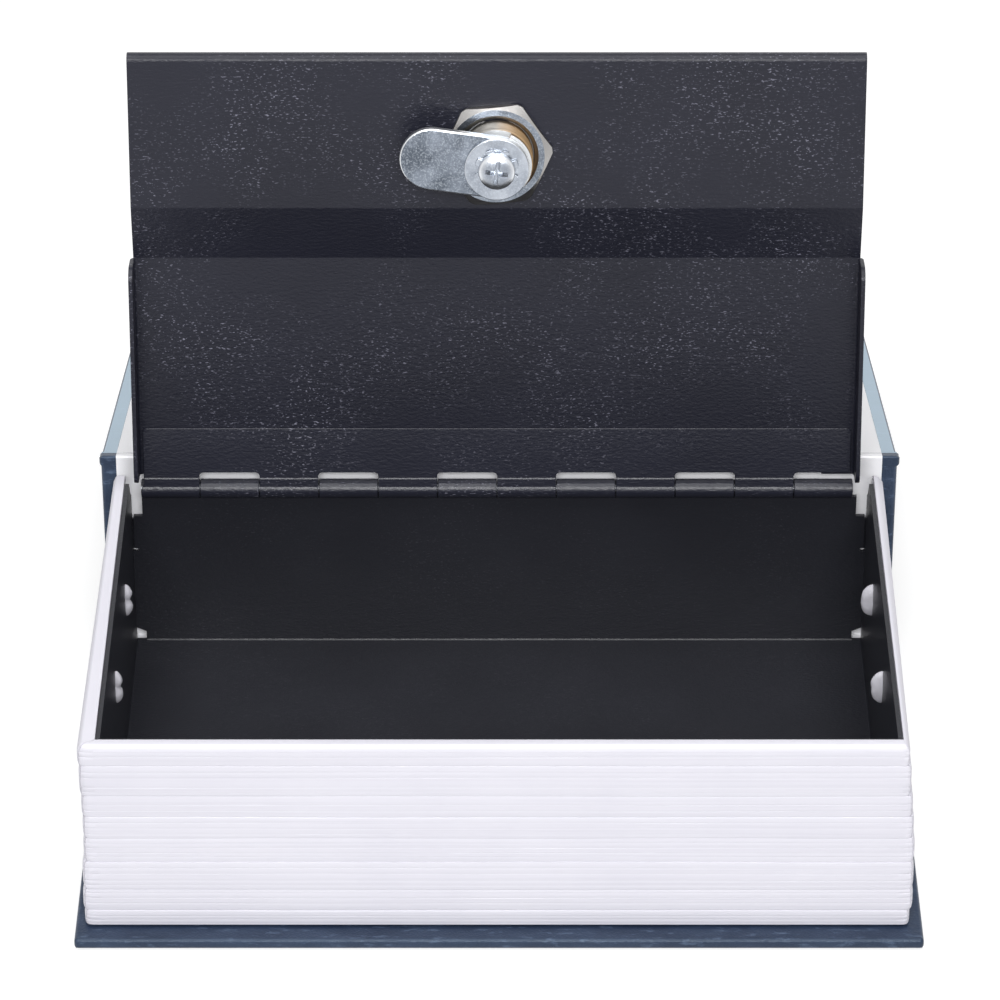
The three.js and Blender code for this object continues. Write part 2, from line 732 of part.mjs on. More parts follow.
// One side flange, folded down from the hinge half of the lid, with rounded free corners
function sideFlange(side) {
  const mid = half(sheet);
  const low = -lidInnerN - sideFlangeDepth;
  const outer = half(lidWidth) - mid;
  const bent = sheetOutline([
    [side * (outer - sideFlangeDepth), -lidOuterN - mid],
    [side * outer, -lidOuterN - mid],
    [side * outer, low],
  ], sheet, lidBend);
  const wall = alongY(bent, -sideFlangeEnd, -sideFlangeStart);
  const top = -lidOuterN + cutOverrun;
  const free = roundedRectangle(-sideFlangeEnd, -sideFlangeStart, low, top, sideFlangeRadius, false);
  return wall.intersect(alongX(free, -half(lidWidth), half(lidWidth)));
}

// Lock parts are drawn about the lock's axis, at z = -n, where n counts into the safe

// A round outline with two flats
function doubleD(radius, acrossFlats, y = 0) {
  const start = Math.asin(half(acrossFlats) / radius);
  const shape = new THREE.Shape();
  shape.absarc(0, y, radius, -start, start);
  shape.absarc(0, y, radius, Math.PI - start, Math.PI + start);
  return shape;
}

function disc(radius, n0, n1, segments = roundSegments) {
  return rod(radius, [0, 0, -n1], towardZ, n1 - n0, segments);
}

// The lug fills the arc outside the path of the stop washer's lobe, and so ends its turn both ways
function stopLug() {
  const margin = stopLobeHalfDegrees + stopSlackDegrees;
  const from = radians(camOpenDegrees + lockTurnDegrees + margin);
  const to = radians(camOpenDegrees + fullTurnDegrees - margin);
  const inner = stopDiscRadius + lockClearance;
  const shape = new THREE.Shape();
  shape.absarc(0, 0, housingRadius, from, to, false);
  shape.absarc(0, 0, inner, to, from, true);
  return alongZ(shape, -stopEndN, -housingEndN + stackGap);
}

function lockHousing() {
  const head = disc(housingHeadRadius, headOuterN, headOuterN + housingHeadThickness);
  const neck = alongZ(doubleD(housingRadius, housingFlatWidth), -housingEndN, -headOuterN - stackGap);
  const body = joined([head, neck, stopLug()]);
  const bore = disc(plugRadius + lockClearance, headOuterN - cutOverrun, stopEndN + cutOverrun);
  return without(body, [bore]);
}

function lockNut() {
  const n0 = shelfInnerN + lockClearance;
  const cornerRadius = half(nutAcrossFlats) / Math.cos(Math.PI / nutSides);
  const hex = new THREE.CylinderGeometry(cornerRadius, cornerRadius, nutThickness, nutSides);
  hex.rotateX(Math.PI / 2);
  hex.rotateZ(Math.PI / 2 + radians(nutTurnDegrees));
  hex.translate(0, 0, -n0 - half(nutThickness));
  const wide = cornerRadius + nutChamfer;
  const tall = nutThickness + nutChamfer;
  const cone = new THREE.LatheGeometry([
    new THREE.Vector2(0, 0),
    new THREE.Vector2(half(nutAcrossFlats - nutChamfer), 0),
    new THREE.Vector2(wide, nutChamfer),
    new THREE.Vector2(wide, tall),
    new THREE.Vector2(0, tall),
  ], roundSegments);
  cone.rotateX(Math.PI / 2);
  cone.translate(0, 0, -n0 - nutThickness);
  const bore = disc(housingRadius + lockClearance, n0 - cutOverrun, n0 + nutThickness + cutOverrun);
  return without(solidOf(hex).intersect(solidOf(cone)), [bore]);
}

function waferPlaces() {
  return Array.from({ length: waferCount }, (_, i) => headOuterN + waferFirst + i * waferPitch);
}

function lockPlug() {
  const body = disc(plugRadius, headOuterN, housingEndN);
  const tail = alongZ(doubleD(tailRadius, tailFlatWidth), -camEndN, -housingEndN + stackGap);
  const keyway = block([-half(keywayWidth), -half(keywayHeight), -keywayEndN],
    [half(keywayWidth), half(keywayHeight), -headOuterN + cutOverrun]);
  const slots = waferPlaces().flatMap((n) => {
    const clear = half(waferWidth) + waferSideClearance;
    const beyond = plugRadius + cutOverrun;
    const slot = block([-clear, -beyond, -n - waferSlot], [clear, beyond, -n]);
    const pocket = block([0, -springPocketHalf, -n - waferSlot], [clear + waferEar, springPocketHalf, -n]);
    return [slot, pocket];
  });
  const thread = disc(screwRadius + lockClearance, threadEndN, camEndN + cutOverrun, smallRoundSegments);
  return without(body.add(tail), [keyway, ...slots, thread]);
}

// A wafer stands flush in the plug, as a key would hold it, with a window for it and an ear on its spring
function plugWafer(n) {
  const margin = half(waferSlot - waferThickness);
  const z0 = -n - margin - waferThickness;
  const z1 = -n - margin;
  const halfWidth = half(waferWidth);
  const plate = block([-halfWidth, -half(waferHeight), z0], [halfWidth, half(waferHeight), z1]);
  const ear = block([0, waferEarBase, z0], [halfWidth + waferEar, waferEarBase + waferEarHeight, z1]);
  const slot = block([-half(waferWindowWidth), -half(waferWindowHeight), z0 - cutOverrun],
    [half(waferWindowWidth), half(waferWindowHeight), z1 + cutOverrun]);
  return without(plate.add(ear), [slot]);
}

function waferSpring(n) {
  const x = half(waferWidth) + half(waferEar) + springClearance;
  const low = -springPocketHalf + springClearance;
  const length = waferEarBase - springClearance - low;
  return rod(springRadius, [x, low, -n - half(waferSlot)], towardY, length, smallRoundSegments / 2);
}

// The stop washer's lobe points the way the cam does, and meets the housing's lug at each end
function camStopWasher() {
  const round = disc(stopDiscRadius, stopStartN, stopEndN);
  const lobe = new THREE.Shape();
  const from = radians(camOpenDegrees - stopLobeHalfDegrees);
  const to = radians(camOpenDegrees + stopLobeHalfDegrees);
  lobe.moveTo(0, 0);
  lobe.lineTo(stopLobeRadius * Math.cos(from), stopLobeRadius * Math.sin(from));
  lobe.absarc(0, 0, stopLobeRadius, from, to);
  const hole = tailHole(stopStartN, stopEndN);
  return without(round.add(alongZ(lobe, -stopEndN, -stopStartN)), [hole]);
}

// The hole that fits the plug's tail
function tailHole(n0, n1) {
  const shape = doubleD(tailRadius + lockClearance, tailFlatWidth + lockClearance * 2);
  return alongZ(shape, -n1 - cutOverrun, -n0 + cutOverrun);
}

// The cam points to -x when the lock is fully open
function camPlate() {
  const radius = half(camWidth);
  const shape = new THREE.Shape();
  shape.absarc(0, 0, radius, -Math.PI / 2, Math.PI / 2);
  shape.absarc(-camReach + radius, 0, radius, Math.PI / 2, Math.PI * 1.5);
  return without(alongZ(shape, -camEndN, -camStartN), [tailHole(camStartN, camEndN)]);
}

function camWasher() {
  const hole = disc(screwRadius + lockClearance, camWasherStartN - cutOverrun, camWasherEndN + cutOverrun);
  return without(disc(camWasherRadius, camWasherStartN, camWasherEndN), [hole]);
}

function starWasher() {
  const points = [];
  for (let i = 0; i < starTeeth * 2; i += 1) {
    const tooth = i % 2 === 0;
    const radius = tooth ? starRadius : starRadius - starToothDepth;
    const spread = tooth ? starToothShare : starGapShare;
    [-spread, spread].forEach((shift) => {
      const angle = (Math.PI * (i + shift)) / starTeeth;
      points.push([radius * Math.cos(angle), radius * Math.sin(angle)]);
    });
  }
  const hole = disc(screwRadius + lockClearance, starStartN - cutOverrun, starEndN + cutOverrun);
  return without(alongZ(shapeOf(points), -starEndN, -starStartN), [hole]);
}

function camScrew() {
  const head = new THREE.LatheGeometry([
    new THREE.Vector2(0, 0),
    new THREE.Vector2(screwHeadRadius, 0),
    ...screwDomeShares.map(([out, up]) => new THREE.Vector2(screwHeadRadius * out, screwHeadHeight * up)),
    new THREE.Vector2(0, screwHeadHeight),
  ], smallRoundSegments);
  head.rotateX(-Math.PI / 2);
  head.translate(0, 0, -screwHeadStartN);
  const shank = disc(screwRadius, screwEndN, screwHeadStartN + stackGap, smallRoundSegments);
  const top = screwHeadStartN + screwHeadHeight;
  const bars = [[driveLength, driveWidth], [driveWidth, driveLength]].map(([wide, tall]) => block(
    [-half(wide), -half(tall), -top - cutOverrun], [half(wide), half(tall), -top + driveDepth]));
  return without(solidOf(head).add(shank), bars);
}

// Assembly

function rootGroup() {
  const group = new THREE.Group();
  group.add(meshOf('back_board', backBoard(), finish.board));
  group.add(meshOf('back_covering', backCovering(), finish.cloth));
  group.add(meshOf('back_endpaper', backEndpaper(), finish.paper));
  group.add(meshOf('spine_board', spineBoard(), finish.board));
  group.add(meshOf('spine_lining', spineLining(), finish.paper));
  group.add(meshOf('page_block_front', pageFront(), finish.plastic));
  group.add(meshOf('page_block_left', pageSide(-1), finish.plastic));
  group.add(meshOf('page_block_right', pageSide(1), finish.plastic));
  group.add(meshOf('box_shell', boxShell(), finish.coat));
  group.add(meshOf('strike_bracket', strikeBracket(), finish.coat));
  return group;
}

function hingeGroup() {
  const group = new THREE.Group();
  group.position.set(hingeShiftX, at(hingeY), hingeZ);
  group.add(meshOf('hinge_box_leaf', hingeBoxLeaf(), finish.coat));
  group.add(meshOf('hinge_pin', hingePin(), finish.steel));
  return group;
}

function frontCoverGroup() {
  const group = new THREE.Group();
  group.position.set(0, at(creaseY), creaseHeight);
  group.rotation.x = -radians(coverOpenDegrees);
  group.add(meshOf('front_board', frontBoard(), finish.board));
  group.add(meshOf('front_covering', frontCovering(), finish.cloth));
  group.add(meshOf('front_endpaper', frontEndpaper(), finish.paper));
  return group;
}

function lidGroup() {
  const group = new THREE.Group();
  group.position.set(hingeShiftX, at(hingeY), hingeZ);
  group.rotation.x = -radians(lidOpenDegrees);
  group.add(meshOf('lid_panel', lidPanel(), finish.coat));
  group.add(meshOf('hinge_lid_leaf', hingeLidLeaf(), finish.coat));
  group.add(lockGroup());
  return group;
}

function lockGroup() {
  const group = new THREE.Group();
  group.position.set(0, -lockAlong, 0);
  group.add(meshOf('lock_housing', lockHousing(), finish.brass));
  group.add(meshOf('lock_nut', lockNut(), finish.zinc));
  group.add(plugGroup());
  return group;
}

// What the key turns. It stands a few degrees short of fully open
function plugGroup() {
  const group = new THREE.Group();
  group.rotation.z = radians(lockRestDegrees);
  group.add(meshOf('lock_plug', lockPlug(), finish.zinc));
  waferPlaces().forEach((n, i) => {
    group.add(meshOf(`plug_wafer_${i + 1}`, plugWafer(n), finish.brass));
    group.add(meshOf(`wafer_spring_${i + 1}`, waferSpring(n), finish.steel));
  });
  group.add(meshOf('cam_stop_washer', camStopWasher(), finish.zinc));
  group.add(meshOf('cam', camPlate(), finish.zinc));
  group.add(meshOf('cam_washer', camWasher(), finish.zinc));
  group.add(meshOf('cam_star_washer', starWasher(), finish.zinc));
  group.add(meshOf('cam_screw', camScrew(), finish.zinc));
  return group;
}

const safe = new THREE.Group();
safe.add(rootGroup(), hingeGroup(), frontCoverGroup(), lidGroup());

export default safe;
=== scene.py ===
"""The looks of a book diversion safe, standing open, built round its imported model. Metres."""

import json
import math

import bmesh
import bpy
from mathutils import Matrix, Vector, noise


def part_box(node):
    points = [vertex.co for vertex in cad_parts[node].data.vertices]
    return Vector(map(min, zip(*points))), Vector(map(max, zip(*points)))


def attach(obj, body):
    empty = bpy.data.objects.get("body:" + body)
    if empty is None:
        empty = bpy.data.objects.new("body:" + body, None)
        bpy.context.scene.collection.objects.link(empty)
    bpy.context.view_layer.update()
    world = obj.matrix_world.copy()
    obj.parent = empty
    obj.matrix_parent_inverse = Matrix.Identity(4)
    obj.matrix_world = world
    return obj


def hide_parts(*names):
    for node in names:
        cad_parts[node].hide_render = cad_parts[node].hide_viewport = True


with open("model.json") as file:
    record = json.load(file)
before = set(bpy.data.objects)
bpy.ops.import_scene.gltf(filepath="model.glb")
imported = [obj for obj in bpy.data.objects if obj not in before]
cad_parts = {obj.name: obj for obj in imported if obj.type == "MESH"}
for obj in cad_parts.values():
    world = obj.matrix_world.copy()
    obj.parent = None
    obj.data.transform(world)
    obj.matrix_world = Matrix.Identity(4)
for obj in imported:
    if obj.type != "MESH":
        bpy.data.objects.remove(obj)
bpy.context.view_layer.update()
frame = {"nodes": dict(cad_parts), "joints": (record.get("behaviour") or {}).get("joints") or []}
nodes = frame["nodes"]
joints = {joint["name"]: joint for joint in frame["joints"]}
mm = 0.001

# Camera, floor and lamps. The camera stands where the photograph was taken from, with a long lens.
# The floor is a pale sheet, and the light is that of a white studio, mostly from behind the camera.
camera_data = bpy.data.cameras.new("camera")
camera_data.lens = 186.1
camera_data.sensor_width = 36
camera_data.clip_start = 0.05
camera_data.clip_end = 50
camera = bpy.data.objects.new("camera", camera_data)
camera.location = (0.0002, -0.9367, 0.663)
camera.rotation_euler = (math.radians(57.883), 0, 0)
bpy.context.scene.collection.objects.link(camera)
bpy.context.scene.camera = camera
bpy.context.scene.view_settings.view_transform = "Standard"


def add_node(tree, kind, inputs=None, **settings):
    made = tree.nodes.new(kind)
    for key, value in settings.items():
        setattr(made, key, value)
    for key, value in (inputs or {}).items():
        made.inputs[key].default_value = value
    return made


def plain_material(name, color, roughness, metallic=0.0):
    material = bpy.data.materials.new(name)
    material.use_nodes = True
    shader = material.node_tree.nodes["Principled BSDF"]
    shader.inputs["Base Color"].default_value = (*color, 1)
    shader.inputs["Roughness"].default_value = roughness
    shader.inputs["Metallic"].default_value = metallic
    return material, material.node_tree, shader


def seen_or_mirrored(tree):
    """1 for rays from the camera, from gloss or through glass, and 0 for rays that carry light."""
    path = add_node(tree, "ShaderNodeLightPath")
    first = add_node(tree, "ShaderNodeMath", operation="MAXIMUM")
    second = add_node(tree, "ShaderNodeMath", operation="MAXIMUM")
    tree.links.new(path.outputs["Is Camera Ray"], first.inputs[0])
    tree.links.new(path.outputs["Is Glossy Ray"], first.inputs[1])
    tree.links.new(first.outputs[0], second.inputs[0])
    tree.links.new(path.outputs["Is Transmission Ray"], second.inputs[1])
    return second.outputs[0]


world = bpy.data.worlds.new("studio")
bpy.context.scene.world = world
world.use_nodes = True
tree = world.node_tree
air = tree.nodes["Background"]
air.inputs["Color"].default_value = (1, 1, 1, 1)
level = add_node(tree, "ShaderNodeMapRange", {"To Min": 0.2, "To Max": 1.0})
tree.links.new(seen_or_mirrored(tree), level.inputs["Value"])
tree.links.new(level.outputs["Result"], air.inputs["Strength"])

bpy.ops.mesh.primitive_plane_add(size=6, location=(0, 0, -0.0002))
floor = bpy.context.object
floor.name = "floor"
material, tree, shader = plain_material("pale floor", (0.62, 0.62, 0.62), 0.9)
shader.inputs["Specular IOR Level"].default_value = 0.0
shader.inputs["Emission Color"].default_value = (1, 1, 1, 1)
glow = add_node(tree, "ShaderNodeMath", {1: 0.55}, operation="MULTIPLY")
tree.links.new(seen_or_mirrored(tree), glow.inputs[0])
tree.links.new(glow.outputs[0], shader.inputs["Emission Strength"])
floor.data.materials.append(material)

for name, place, width, height, power in [
    ("overhead", (0.0, -0.1, 1.3), 1.1, 1.1, 12.0),
    ("behind the camera", tuple(camera.location * 1.3), 0.8, 0.3, 16.0),
]:
    lamp_data = bpy.data.lights.new(name, "AREA")
    lamp_data.shape = "RECTANGLE"
    lamp_data.size = width
    lamp_data.size_y = height
    lamp_data.energy = power
    lamp = bpy.data.objects.new(name, lamp_data)
    lamp.location = place
    lamp.rotation_euler = (Vector((0, 0, 0.05)) - Vector(place)).to_track_quat("-Z", "Y").to_euler()
    bpy.context.scene.collection.objects.link(lamp)

# The book case: three grey boards in one sheet of blue leatherette, glued and turned in over their
# edges, with the corners folded to a mitre. Its long edges are soft where the cloth goes round.


def pick(piece):
    bpy.ops.object.select_all(action="DESELECT")
    piece.select_set(True)
    bpy.context.view_layer.objects.active = piece


def merged_copy(node, name):
    """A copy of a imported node, its loose triangles merged into whole faces."""
    piece = bpy.data.objects.new(name, nodes[node].data.copy())
    bpy.context.scene.collection.objects.link(piece)
    pick(piece)
    bpy.ops.object.mode_set(mode="EDIT")
    bpy.ops.mesh.select_all(action="SELECT")
    bpy.ops.mesh.remove_doubles(threshold=2e-6)
    bpy.ops.mesh.dissolve_limited(angle_limit=math.radians(0.6))
    bpy.ops.object.mode_set(mode="OBJECT")
    return piece


def select_where(piece, part, wanted):
    """In edit mode, selects only the corners, edges or faces of a piece that are wanted."""
    bpy.ops.mesh.select_mode(type={"verts": "VERT", "edges": "EDGE", "faces": "FACE"}[part])
    bpy.ops.mesh.select_all(action="DESELECT")
    mesh = bmesh.from_edit_mesh(piece.data)
    for item in getattr(mesh, part):
        if wanted(item):
            item.select_set(True)
    mesh.select_flush_mode()
    bmesh.update_edit_mesh(piece.data)


def middle_of(edge):
    return (edge.verts[0].co + edge.verts[1].co) / 2


def round_edges(piece, width, segments, sharpness, wanted=None):
    """Bevels the sharp edges of a piece, or those of them that are wanted."""
    pick(piece)
    bpy.ops.object.mode_set(mode="EDIT")
    select_where(piece, "edges", lambda edge: (
        edge.is_manifold and edge.calc_face_angle() > math.radians(sharpness)
        and (wanted is None or wanted(edge))))
    bpy.ops.mesh.bevel(offset=width, segments=segments, profile=0.5, clamp_overlap=True)
    bpy.ops.object.mode_set(mode="OBJECT")


def smooth(piece, degrees):
    """Smooth shading up to an angle, with large faces kept flat."""
    pick(piece)
    bpy.ops.object.shade_smooth_by_angle(angle=math.radians(degrees))
    even = piece.modifiers.new("even shading", "WEIGHTED_NORMAL")
    even.keep_sharp = True
    bpy.ops.object.modifier_apply(modifier=even.name)


def dress(piece, material, body, slot, *stood_for):
    """Gives a finished piece its material, and says where it rides and what it stands for."""
    piece.data.materials.clear()
    piece.data.materials.append(material)
    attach(piece, body)
    if stood_for:
        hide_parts(*stood_for)


def new_group(name, inputs, outputs):
    group = bpy.data.node_groups.new(name, "ShaderNodeTree")
    for socket, default in inputs:
        kind = "NodeSocketVector" if isinstance(default, tuple) else "NodeSocketFloat"
        made = group.interface.new_socket(socket, in_out="INPUT", socket_type=kind)
        made.default_value = default
    for socket, kind in outputs:
        group.interface.new_socket(socket, in_out="OUTPUT", socket_type=kind)
    return group, group.nodes.new("NodeGroupInput"), group.nodes.new("NodeGroupOutput")


# Grain: a fine noise on the piece's own coordinates, as a height and as a mask of its peaks
grain, given, made = new_group(
    "grain",
    [("Stretch", (1.0, 1.0, 1.0)), ("Scale", 1000.0), ("Detail", 2.0), ("Peak", 0.6), ("Full", 0.8)],
    [("Height", "NodeSocketFloat"), ("Peaks", "NodeSocketFloat")],
)
place = add_node(grain, "ShaderNodeTexCoord")
stretched = add_node(grain, "ShaderNodeVectorMath", operation="MULTIPLY")
fine_noise = add_node(grain, "ShaderNodeTexNoise", {"Roughness": 0.6})
peaks = add_node(grain, "ShaderNodeMapRange")
grain.links.new(place.outputs["Object"], stretched.inputs[0])
grain.links.new(given.outputs["Stretch"], stretched.inputs[1])
grain.links.new(stretched.outputs[0], fine_noise.inputs["Vector"])
grain.links.new(given.outputs["Scale"], fine_noise.inputs["Scale"])
grain.links.new(given.outputs["Detail"], fine_noise.inputs["Detail"])
grain.links.new(fine_noise.outputs["Fac"], peaks.inputs["Value"])
grain.links.new(given.outputs["Peak"], peaks.inputs["From Min"])
grain.links.new(given.outputs["Full"], peaks.inputs["From Max"])
grain.links.new(fine_noise.outputs["Fac"], made.inputs["Height"])
grain.links.new(peaks.outputs["Result"], made.inputs["Peaks"])


def use_grain(tree, scale, detail=2.0, peak=0.6, full=0.8, stretch=(1.0, 1.0, 1.0)):
    used = tree.nodes.new("ShaderNodeGroup")
    used.node_tree = grain
    for key, value in [
        ("Stretch", stretch), ("Scale", scale), ("Detail", detail), ("Peak", peak), ("Full", full),
    ]:
        used.inputs[key].default_value = value
    return used


def bump(tree, shader, height, distance, strength=1.0):
    made = add_node(tree, "ShaderNodeBump", {"Distance": distance, "Strength": strength})
    tree.links.new(height, made.inputs["Height"])
    tree.links.new(made.outputs["Normal"], shader.inputs["Normal"])


def mix_colors(tree, share, low, high):
    """A colour that runs from low to high with share. Each of the two is a colour or a socket."""
    made = add_node(tree, "ShaderNodeMix", data_type="RGBA")
    for key, color in (("A", low), ("B", high)):
        if isinstance(color, tuple):
            made.inputs[key].default_value = (*color, 1)
        else:
            tree.links.new(color, made.inputs[key])
    tree.links.new(share, made.inputs["Factor"])
    return made.outputs["Result"]


def product(tree, first, second):
    made = add_node(tree, "ShaderNodeMath", operation="MULTIPLY")
    tree.links.new(first, made.inputs[0])
    if isinstance(second, float):
        made.inputs[1].default_value = second
    else:
        tree.links.new(second, made.inputs[1])
    return made.outputs[0]


def leather_cloth(name, grazing_gloss):
    """Grained blue leatherette. Seen at a low angle, its gloss alone grows to a given strength."""
    material, tree, shader = plain_material(name, (0.045, 0.065, 0.11), 0.4)
    shader.inputs["Specular Tint"].default_value = (0.74, 0.88, 0.98, 1.0)
    slant = add_node(tree, "ShaderNodeLayerWeight", {"Blend": 0.5})
    gloss = add_node(
        tree, "ShaderNodeMapRange",
        {"From Min": 0.54, "From Max": 0.74, "To Min": 0.42, "To Max": grazing_gloss})
    tree.links.new(slant.outputs["Facing"], gloss.inputs["Value"])
    tree.links.new(gloss.outputs["Result"], shader.inputs["Specular IOR Level"])
    pebbles = add_node(
        tree, "ShaderNodeTexVoronoi", {"Scale": 2100.0, "Smoothness": 0.6}, feature="SMOOTH_F1")
    place = add_node(tree, "ShaderNodeTexCoord")
    tree.links.new(place.outputs["Object"], pebbles.inputs["Vector"])
    wrinkles = use_grain(tree, 900.0, 4.0)
    both = add_node(tree, "ShaderNodeMath", {1: 0.8}, operation="MULTIPLY_ADD")
    tree.links.new(wrinkles.outputs["Height"], both.inputs[0])
    tree.links.new(pebbles.outputs["Distance"], both.inputs[2])
    bump(tree, shader, both.outputs[0], 0.00009, 0.8)
    patches = use_grain(tree, 160.0, 3.0, 0.35, 0.7, stretch=(0.5, 1.0, 1.0))
    scuffs = use_grain(tree, 900.0, 4.0, 0.57, 0.8, stretch=(0.3, 1.0, 1.0))
    blue = mix_colors(tree, patches.outputs["Peaks"], (0.014, 0.024, 0.052), (0.028, 0.044, 0.084))
    scuffed = mix_colors(tree, scuffs.outputs["Peaks"], blue, (0.1, 0.14, 0.22))
    tree.links.new(scuffed, shader.inputs["Base Color"])
    return material


leatherette = leather_cloth("blue leatherette", 0.6)
# A copy whose gloss at low angles is pushed far past a real cloth's, with a pale blue tint: a painted
# sheen.
sheen_painted_leatherette = leather_cloth("blue leatherette, turned in and pressed", 7.5)


def paint_sheen_inside(piece):
    """Gives the cover's inner side, which looks up at rest, the copy of the cloth with the painted sheen.
    """
    piece.data.materials.append(sheen_painted_leatherette)
    for polygon in piece.data.polygons:
        if polygon.normal.z > 0.9:
            polygon.material_index = 1


board, tree, shader = plain_material("grey board", (0.36, 0.35, 0.33), 0.9)
fibres = use_grain(tree, 2500.0, 4.0)
tree.links.new(
    mix_colors(tree, fibres.outputs["Height"], (0.28, 0.27, 0.25), (0.45, 0.44, 0.42)),
    shader.inputs["Base Color"])
bump(tree, shader, fibres.outputs["Height"], 0.00004)
for name in ("back_board", "spine_board", "front_board"):
    nodes[name].material_slots[0].material = board

crease = Vector(joints["front_cover_hinge"]["pos_m"])
case_low, case_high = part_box("back_covering")
cloth_softness = 0.8 * mm


def on_case_side(edge):
    """The edges of the case that run along its two ends, where the cloth goes round the boards."""
    along_x = abs(edge.verts[0].co.x - edge.verts[1].co.x) > 1e-6
    return abs(middle_of(edge).x) > case_high.x - 1e-5 and not along_x


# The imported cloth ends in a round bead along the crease. Here it lies lower, under its own fold
cover_thickness = 2.5 * mm
bead_radius = cover_thickness / 2
bead_height_share = 0.3
back_case = merged_copy("back_covering", "back_case_cloth")
round_edges(back_case, cloth_softness, 4, 30, on_case_side)
bpy.ops.object.mode_set(mode="EDIT")
select_where(back_case, "verts", lambda v: v.co.z > crease.z + 0.01 * mm)
bpy.ops.transform.resize(value=(1, 1, bead_height_share), center_override=crease)
bpy.ops.object.mode_set(mode="OBJECT")

# The mitre of the turned-in cloth: a shallow fold from each front corner inwards
mitre_depth = 0.22 * mm
mitre_half_width = 0.3 * mm
mitre_start = case_low.y + 1.2 * mm
for side in (-1, 1):
    corner = Vector((side * case_high.x, case_low.y, cover_thickness))
    across = Vector((1, side, 0)).normalized()
    pick(back_case)
    bpy.ops.object.mode_set(mode="EDIT")
    select_where(back_case, "faces", lambda face: (
        face.normal.z > 0.99 and abs(face.calc_center_median().z - cover_thickness) < 1e-5))
    bpy.ops.mesh.bisect(plane_co=corner, plane_no=across)
    select_where(back_case, "edges", lambda edge: (
        all(abs((v.co - corner).dot(across)) < 1e-6 for v in edge.verts)
        and all(abs(v.co.z - cover_thickness) < 1e-5 for v in edge.verts)
        and (edge.verts[0].co - edge.verts[1].co).length > 1e-4))
    bpy.ops.mesh.bevel(offset=mitre_half_width, segments=2, profile=0.5, clamp_overlap=True)
    select_where(back_case, "verts", lambda v: (
        abs((v.co - corner).dot(across)) < 1e-6 and abs(v.co.z - cover_thickness) < 1e-5
        and v.co.y > mitre_start))
    bpy.ops.transform.translate(value=(0, 0, -mitre_depth))
    bpy.ops.object.mode_set(mode="OBJECT")
smooth(back_case, 40)
dress(back_case, leatherette, "root", "blue_cloth", "back_covering")

front_case = merged_copy("front_covering", "front_case_cloth")
round_edges(front_case, cloth_softness, 4, 30, on_case_side)
smooth(front_case, 40)
dress(front_case, leatherette, "front_cover", "blue_cloth", "front_covering")
paint_sheen_inside(front_case)

# The cloth joint: the leatherette that runs on from the spine to the front cover, with no board in
# it. It folds over the spine's top edge, and its cover half slides round that edge as it turns.
# Sections here are (y, z) points from the crease, those of the cover's half as it lies when shut.
cover_turn = math.radians(joints["front_cover_hinge"]["range_deg"][1])
cover_frame = Matrix.Translation(crease) @ Matrix.Rotation(-cover_turn, 4, "X")
joint_start = -2.3 * mm
joint_underside = -0.6 * mm
joint_topside = joint_underside + cover_thickness
tongue_end = -1.33 * mm
fold_end = 1.26 * mm
lining_end = 1.17 * mm
fold_radius = 0.45 * mm
paper_proud = 0.06 * mm


def drawn_out(name, outline, x0, x1):
    """An outline in (y, z), drawn out along x between two places."""
    bpy.ops.object.select_all(action="DESELECT")
    bpy.ops.mesh.primitive_circle_add(vertices=len(outline), fill_type="NGON")
    piece = bpy.context.object
    piece.name = name
    for vertex, (y, z) in zip(piece.data.vertices, outline):
        vertex.co = (x0, y, z)
    bpy.ops.object.mode_set(mode="EDIT")
    bpy.ops.mesh.select_all(action="SELECT")
    bpy.ops.mesh.extrude_region_move(TRANSFORM_OT_translate={"value": (x1 - x0, 0, 0)})
    bpy.ops.mesh.select_all(action="SELECT")
    bpy.ops.mesh.normals_make_consistent(inside=False)
    bpy.ops.object.mode_set(mode="OBJECT")
    return piece


def arc(radius, start, end, steps, y=0.0, z=0.0):
    """Points in (y, z) round a centre, between two angles in degrees."""
    angles = [math.radians(start + (end - start) * i / steps) for i in range(steps + 1)]
    return [(y + radius * math.cos(angle), z + radius * math.sin(angle)) for angle in angles]


def cover_plane(y, below=0.0):
    """Height over the crease of the open cover's inner face, at a distance behind the crease."""
    on_face = cover_frame.to_3x3() @ Vector((0, 0, joint_underside - paper_proud))
    return on_face.z - below - (y - on_face.y) * math.tan(cover_turn - math.pi)


def over_the_fold(front, below, end):
    """The outer line of the fold about the crease: up the spine's face and back along the cover."""
    turn = cover_turn - math.pi / 2
    reach = fold_radius * math.tan(turn / 2)
    top = cover_plane(front, below) - reach
    rest = 180 - math.degrees(turn)
    return arc(fold_radius, 180, rest, 8, front + fold_radius, top) + [
        (end, cover_plane(end, below))]


# The fold's loose ends stand out a little past the case, the right one further, and slant in at the top
fold_face = -bead_radius - 0.03 * mm
fold_back = 1.2 * mm
fold_bottom = -1.6 * mm
left_overhang, right_overhang = 0.35 * mm, 0.5 * mm
slant_height, slant_in = 0.6 * mm, 0.7 * mm
fold = drawn_out(
    "spine_fold_cloth",
    [(fold_face, fold_bottom)] + over_the_fold(fold_face, paper_proud, fold_end)
    + [(fold_back, -0.5 * mm), (fold_back, fold_bottom)],
    -case_high.x - left_overhang, case_high.x + right_overhang)
for vertex in fold.data.vertices:
    if vertex.co.z > slant_height:
        vertex.co.x -= math.copysign(slant_in, vertex.co.x)
fold.data.transform(Matrix.Translation(crease))
round_edges(fold, 0.6 * mm, 4, 60, on_case_side)
smooth(fold, 50)
dress(fold, leatherette, "root", "blue_cloth")

